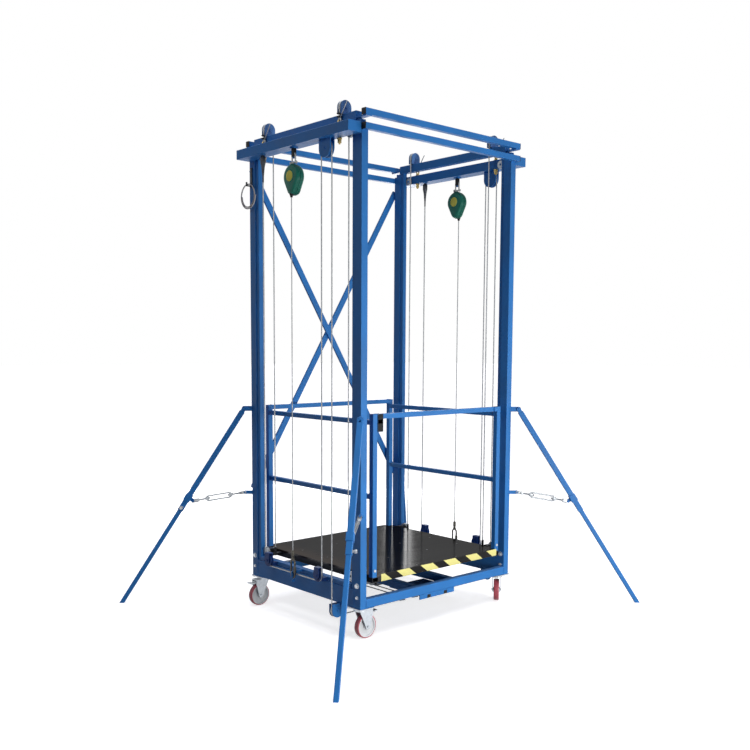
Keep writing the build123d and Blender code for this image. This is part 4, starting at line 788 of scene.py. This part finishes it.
stud_r, stud_low, stud_high = 0.005, beam_under - 0.032, beam_top + 0.012
eye_ring_r, eye_bar_r, eye_z = 0.0105, 0.004, beam_top + 0.02
nut_flats, nut_thick, nuts = 0.017, 0.008, (beam_under - 0.0255, beam_under - 0.017, beam_top + 0.0015)
washer_r, washer_bore, washer_thick = 0.0125, 0.0052, 0.0016
spacer_low, spacer_thick = beam_under - 0.0088, 0.0086
thimble_r, thimble_z = 0.0095, beam_top + 0.0325
clip_heights, clip_half, clip_round = (beam_top + 0.049, beam_top + 0.064), (0.0075, 0.0085, 0.0045), 0.0016
clip_nut_away, clip_nut_flats, clip_nut_thick = 0.005, 0.0065, 0.005
end_away, end_z, end_way, end_length, end_r = 0.005, beam_top + 0.042, (0, -0.62, 0.85), 0.09, 0.0026
dead_socket = [(0, 0), (0.0042, 0), (0.0046, 0.03), (0.009, 0.078), (0.013, 0.098), (0.0145, 0.102),
               (0.0145, 0.132), (0.013, 0.1345), (0.009, 0.1345), (0.009, 0.1398), (0, 0.1398)]
loop = [(math.cos(math.radians(30 * count)), math.sin(math.radians(30 * count))) for count in range(12)]
eyes, clips, sockets, ends = (bmesh.new() for _ in range(4))
for side in (-1, 1):
    for end in (-1, 1):
        x, y = side * anchor_x, end * carriage_y
        lathe(eyes, thread(stud_low, stud_high, stud_r), (x, y, 0), up, right, 16)
        eye_bar = [(eye_ring_r + eye_bar_r * c, eye_bar_r * s) for c, s in loop]
        lathe(eyes, eye_bar, (x, y, eye_z), back, right, 28)
        for z in nuts:
            hexagon(eyes, (x, y, z), up, nut_flats, nut_thick)
        washer(eyes, (x, y, spacer_low), up, right, washer_r, washer_bore, spacer_thick)
        washer(eyes, (x, y, beam_top), up, right, washer_r, washer_bore, washer_thick)
        bight = [(thimble_r + rope_r * c, rope_r * s) for c, s in loop]
        lathe(ends, bight, (x, y, thimble_z), right, up, 28)
        for z in clip_heights:
            middle, half = Vector((x, y, z)), Vector(clip_half)
            rounded_block(clips, middle - half, middle + half, clip_round)
            for way in (-clip_nut_away, clip_nut_away):
                place = (x + side * half.x, y + way, z)
                hexagon(clips, place, (side, 0, 0), clip_nut_flats, clip_nut_thick)
        rope_straight(ends, (x, y - end_away, end_z), end_way, end_length, end_r, line_lay)
    lathe(sockets, dead_socket, (side * rope_x, rear_y + block_r, dead_z), up, right, 28)
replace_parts(piece("eyebolts", eyes, passivated, "frame", 35), "rigging")
piece("rope_clips", clips, dark_steel, "frame", 35)
piece("dead_end_sockets", sockets, dark_steel, "frame", 35)
rope_piece("carriage_rope_ends", ends, "frame")

# Fasteners: zinc-plated hexagon bolts that hold the slide pads in the posts, the caster plates
# and the guard uprights' feet, and countersunk screws in the deck.
post_outside, post_inside, post_front, post_back = 0.57, 0.53, 0.475, 0.425
pad_bolts = ((0.287, 0.02, 0.008), (0.226, 0.013, 0.006))  # height, width across flats, head
pad_bolt_y, pad_washer, pad_seat = 0.45, 0.0018, 0.0016
pad_rim, pad_bore = 0.68, 0.3  # a washer's radii as shares of the width across flats
plate_bolt_x, plate_bolt_y, plate_bolt_z, plate_flats, plate_head = 0.038, 0.045, 0.1641, 0.013, 0.0068
guard_x, foot_bolt_z, foot_flats, foot_head = 0.47, 0.352, 0.014, 0.0045
screw_columns, screw_rows = (0.15, 0.4), [0.225 * row for row in range(-2, 3)]
screw_head = [(0, 0.0003), (0.0022, 0.0003), (0.0026, 0.0007), (0.005, 0.0005), (0.0053, -0.0002),
              (0, -0.0002)]
posts, feet, screws = bmesh.new(), bmesh.new(), bmesh.new()
for side in (-1, 1):
    for end in (-1, 1):
        for z, flats, thick in pad_bolts:
            for x, way in ((side * post_outside, side), (side * post_inside, -side)):
                y = end * pad_bolt_y
                washer(posts, (x, y, z), (way, 0, 0), up, flats * pad_rim, flats * pad_bore, pad_washer)
                hexagon(posts, (x + way * pad_seat, y, z), (way, 0, 0), flats, thick)
        for x in (-plate_bolt_x, plate_bolt_x):
            for y in (-plate_bolt_y, plate_bolt_y):
                place = (side * swivel_x + x, end * swivel_y + y, plate_bolt_z)
                hexagon(posts, place, down, plate_flats, plate_head)
    hexagon(feet, (side * guard_x, deck_front, foot_bolt_z), front, foot_flats, foot_head)
    for y in screw_rows:
        for x in screw_columns:
            lathe(screws, screw_head, (side * x, y, deck_top), up, right, 20)
piece("frame_bolts", posts, zinc, "frame", 35)
piece("carriage_bolts", feet, zinc, "carriage", 35)
piece("deck_screws", screws, dark_steel, "carriage", 35)

# Welds: the frame's and the guard's joints are arc welded before painting. Each bead is a low
# ridge with a ripple every 5 mm, under the same blue enamel.


def weld(bm, start, finish, bead_r=0.003, ripple=0.0007, ripple_length=0.005, cap=0.0015):
    """A rippled weld bead along a joint."""
    start, finish = Vector(start), Vector(finish)
    along, length = (finish - start).normalized(), (finish - start).length
    ripples = max(2, round(length / ripple_length))
    step = length / ripples / 2
    ridge = [(bead_r - ripple * (count % 2), step * count) for count in range(2 * ripples + 1)]
    lathe(bm, [(0, -cap)] + ridge + [(0, length + cap)], start, along, along.orthogonal().normalized(), 10)


def weld_round(bm, place, across, tube_half=0.0125, bead_half=0.0105):
    """Four beads round the end of a square tube, in the plane of Z and an axis across it."""
    for way in (-tube_half, tube_half):
        for aside, along in ((across, up), (up, across)):
            middle = Vector(place) + aside * way
            weld(bm, middle - along * bead_half, middle + along * bead_half)


base_low, side_beam_top, front_beam_top, tie_under = 0.17, 0.265, 0.215, tie_z - tie_half
short, tie_short = 0.004, 0.003  # how far a bead stops short of a corner or of the next bead
rail_ends, rail_heights = (-0.44, 0.43), (0.73, 1.107)
rear_rail_x, rear_rail_y, rear_rail_z = 0.455, 0.445, pivots["gate_lift"][2]
tower, guard = bmesh.new(), bmesh.new()
for side in (-1, 1):
    outside, inside = side * post_outside, side * post_inside
    for end in (-1, 1):
        face, edge = end * post_front, end * post_back
        weld(tower, (outside, edge, base_low + short), (outside, edge, side_beam_top - short))
        weld(tower, (inside, face, base_low + short), (inside, face, front_beam_top - short))
        weld(tower, (outside, edge, beam_under), (outside, end * (post_front - short), beam_under))
        weld(tower, (outside, face, beam_under + short), (outside, face, tie_under - tie_short))
        weld(tower, (inside + side * short, face, tie_under), (outside - side * short, face, tie_under))
    for y in rail_ends:
        for z in rail_heights:
            weld_round(guard, (side * guard_x, y, z), right)
    weld_round(guard, (side * rear_rail_x, rear_rail_y, rear_rail_z), back)
piece("frame_welds", tower, blue_enamel, "frame", 50)
piece("guard_welds", guard, blue_enamel, "carriage", 50)

# Painted shade in the winch guide: blocks of black nylon with rounded edges fill the notches of the
# guide's front lip and stand for the shade in its openings.
shade_block_places, shade_block_half, shade_block_round = (-0.082, 0.045), 0.0128, 0.0015
shade_block_front, shade_block_back, shade_block_low, shade_block_top = -0.4754, -0.452, 0.1442, 0.164
# The dark blocks in the notches are painted shade.
bm = bmesh.new()
for x in shade_block_places:
    rounded_block(bm, (x - shade_block_half, shade_block_front, shade_block_low), (x + shade_block_half, shade_block_back, shade_block_top), shade_block_round)
piece("rope_guide_bushes", bm, nylon, "frame")

# Gate latch: a moulded black nylon shoe on the front left upright, with a slot that the gate
# bar drops into.
gate_y = pivots["gate_lift"][1]
shoe_left, shoe_right, shoe_half, shoe_round = -0.4554, -0.4186, 0.0179, 0.0018
shoe_low, shoe_floor, cheek_low, cheek_top = 1.0596, 1.1232, 1.1, 1.1504
cheek_away, cheek_half, end_wall = 0.0155, 0.0024, 0.0048
bm = bmesh.new()
for y, half, end_x, bottom, top in (
    (gate_y, shoe_half, shoe_right, shoe_low, shoe_floor),
    (gate_y - cheek_away, cheek_half, shoe_right, cheek_low, cheek_top),
    (gate_y + cheek_away, cheek_half, shoe_right, cheek_low, cheek_top),
    (gate_y, shoe_half, shoe_left + end_wall, cheek_low, cheek_top),
):
    rounded_block(bm, (shoe_left, y - half, bottom), (end_x, y + half, top), shoe_round)
piece("gate_latch_shoe", bm, nylon, "carriage")

# Spare rope: a length of white cotton rope, three strands, 7 mm across, wound into a small
# ring of a turn and a half that hangs on the hook of the rear left post.
cotton = mottled("laid_cotton_rope", "#B9B7B2", "#E8E6E1", cloud=(0.0008, 3), grain=(0.0008, 3),
                 strength=0.4, depth=0.0004, look={"Roughness": 0.85, "IOR": 1.46, "Sheen Weight": 0.3})
peg_y, peg_low, peg_round = 0.455, 2.3616, 0.0012
bm = bmesh.new()
for outer, inner, half, top in ((-0.5766, -0.5698, 0.0084, 2.4644),  # plate on the post
                                (-0.6079, -0.572, 0.0044, 2.3682),  # arm
                                (-0.6079, -0.6011, 0.0044, 2.3844)):  # turned-up tip
    rounded_block(bm, (outer, peg_y - half, peg_low), (inner, peg_y + half, top), peg_round)
piece("coil_hook", bm, dark_steel, "frame")

cotton_width, cotton_lay, cotton_groove = 0.007, 0.028, 0.3
coil_middle = Vector((-0.595, peg_y, 2.3096))
turns, per_turn, coil_r, coil_growth = 1.5, 16, 0.058, 0.0084
outset = 1.005 / math.cos(math.pi / per_turn) ** 0.5  # control points stand outside the curve they shape
control = []
for count in range(round(turns * per_turn) + 1):
    angle = 2 * math.pi * count / per_turn
    away = (coil_r + coil_growth * count / per_turn) * outset
    control.append(coil_middle + Vector((0, away * math.cos(angle), -away * math.sin(angle))))
route = bpy.data.curves.new("spare_rope_route", "CURVE")
route.dimensions = "3D"
spline = route.splines.new("NURBS")
spline.points.add(len(control) - 1)
for point, place in zip(spline.points, control):
    point.co = (*place, 1)
spline.order_u = 3
spline.use_endpoint_u = True
spline.resolution_u = 6
holder = bpy.data.objects.new("spare_rope_route", route)
scene.collection.objects.link(holder)
bpy.context.view_layer.update()
drawn = bpy.data.meshes.new_from_object(holder.evaluated_get(bpy.context.evaluated_depsgraph_get()))
centreline = [vert.co.copy() for vert in drawn.vertices]
bpy.data.objects.remove(holder)
bm = bmesh.new()
rings, laid = [], 0
for count, place in enumerate(centreline):
    following = centreline[min(count + 1, len(centreline) - 1)]
    behind = centreline[max(count - 1, 0)]
    heading = (following - behind).normalized()
    laid += (place - behind).length
    square = Matrix((right, heading.cross(right).normalized(), heading)).transposed().to_4x4()
    twist = Matrix.Rotation(2 * math.pi * laid / cotton_lay, 4, "Z")
    ring = rope_ring(bm, Matrix.Translation(place) @ square @ twist, cotton_width / 2,
                     strands=3, per_strand=5, groove=cotton_groove)
    rings.append([item for item in ring if isinstance(item, bmesh.types.BMEdge)])
for behind, following in zip(rings, rings[1:]):
    bmesh.ops.bridge_loops(bm, edges=behind + following)
close_ends(bm)
coil = piece("spare_rope_coil", bm, cotton, "frame", 80)
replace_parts(coil, "rope_coil")
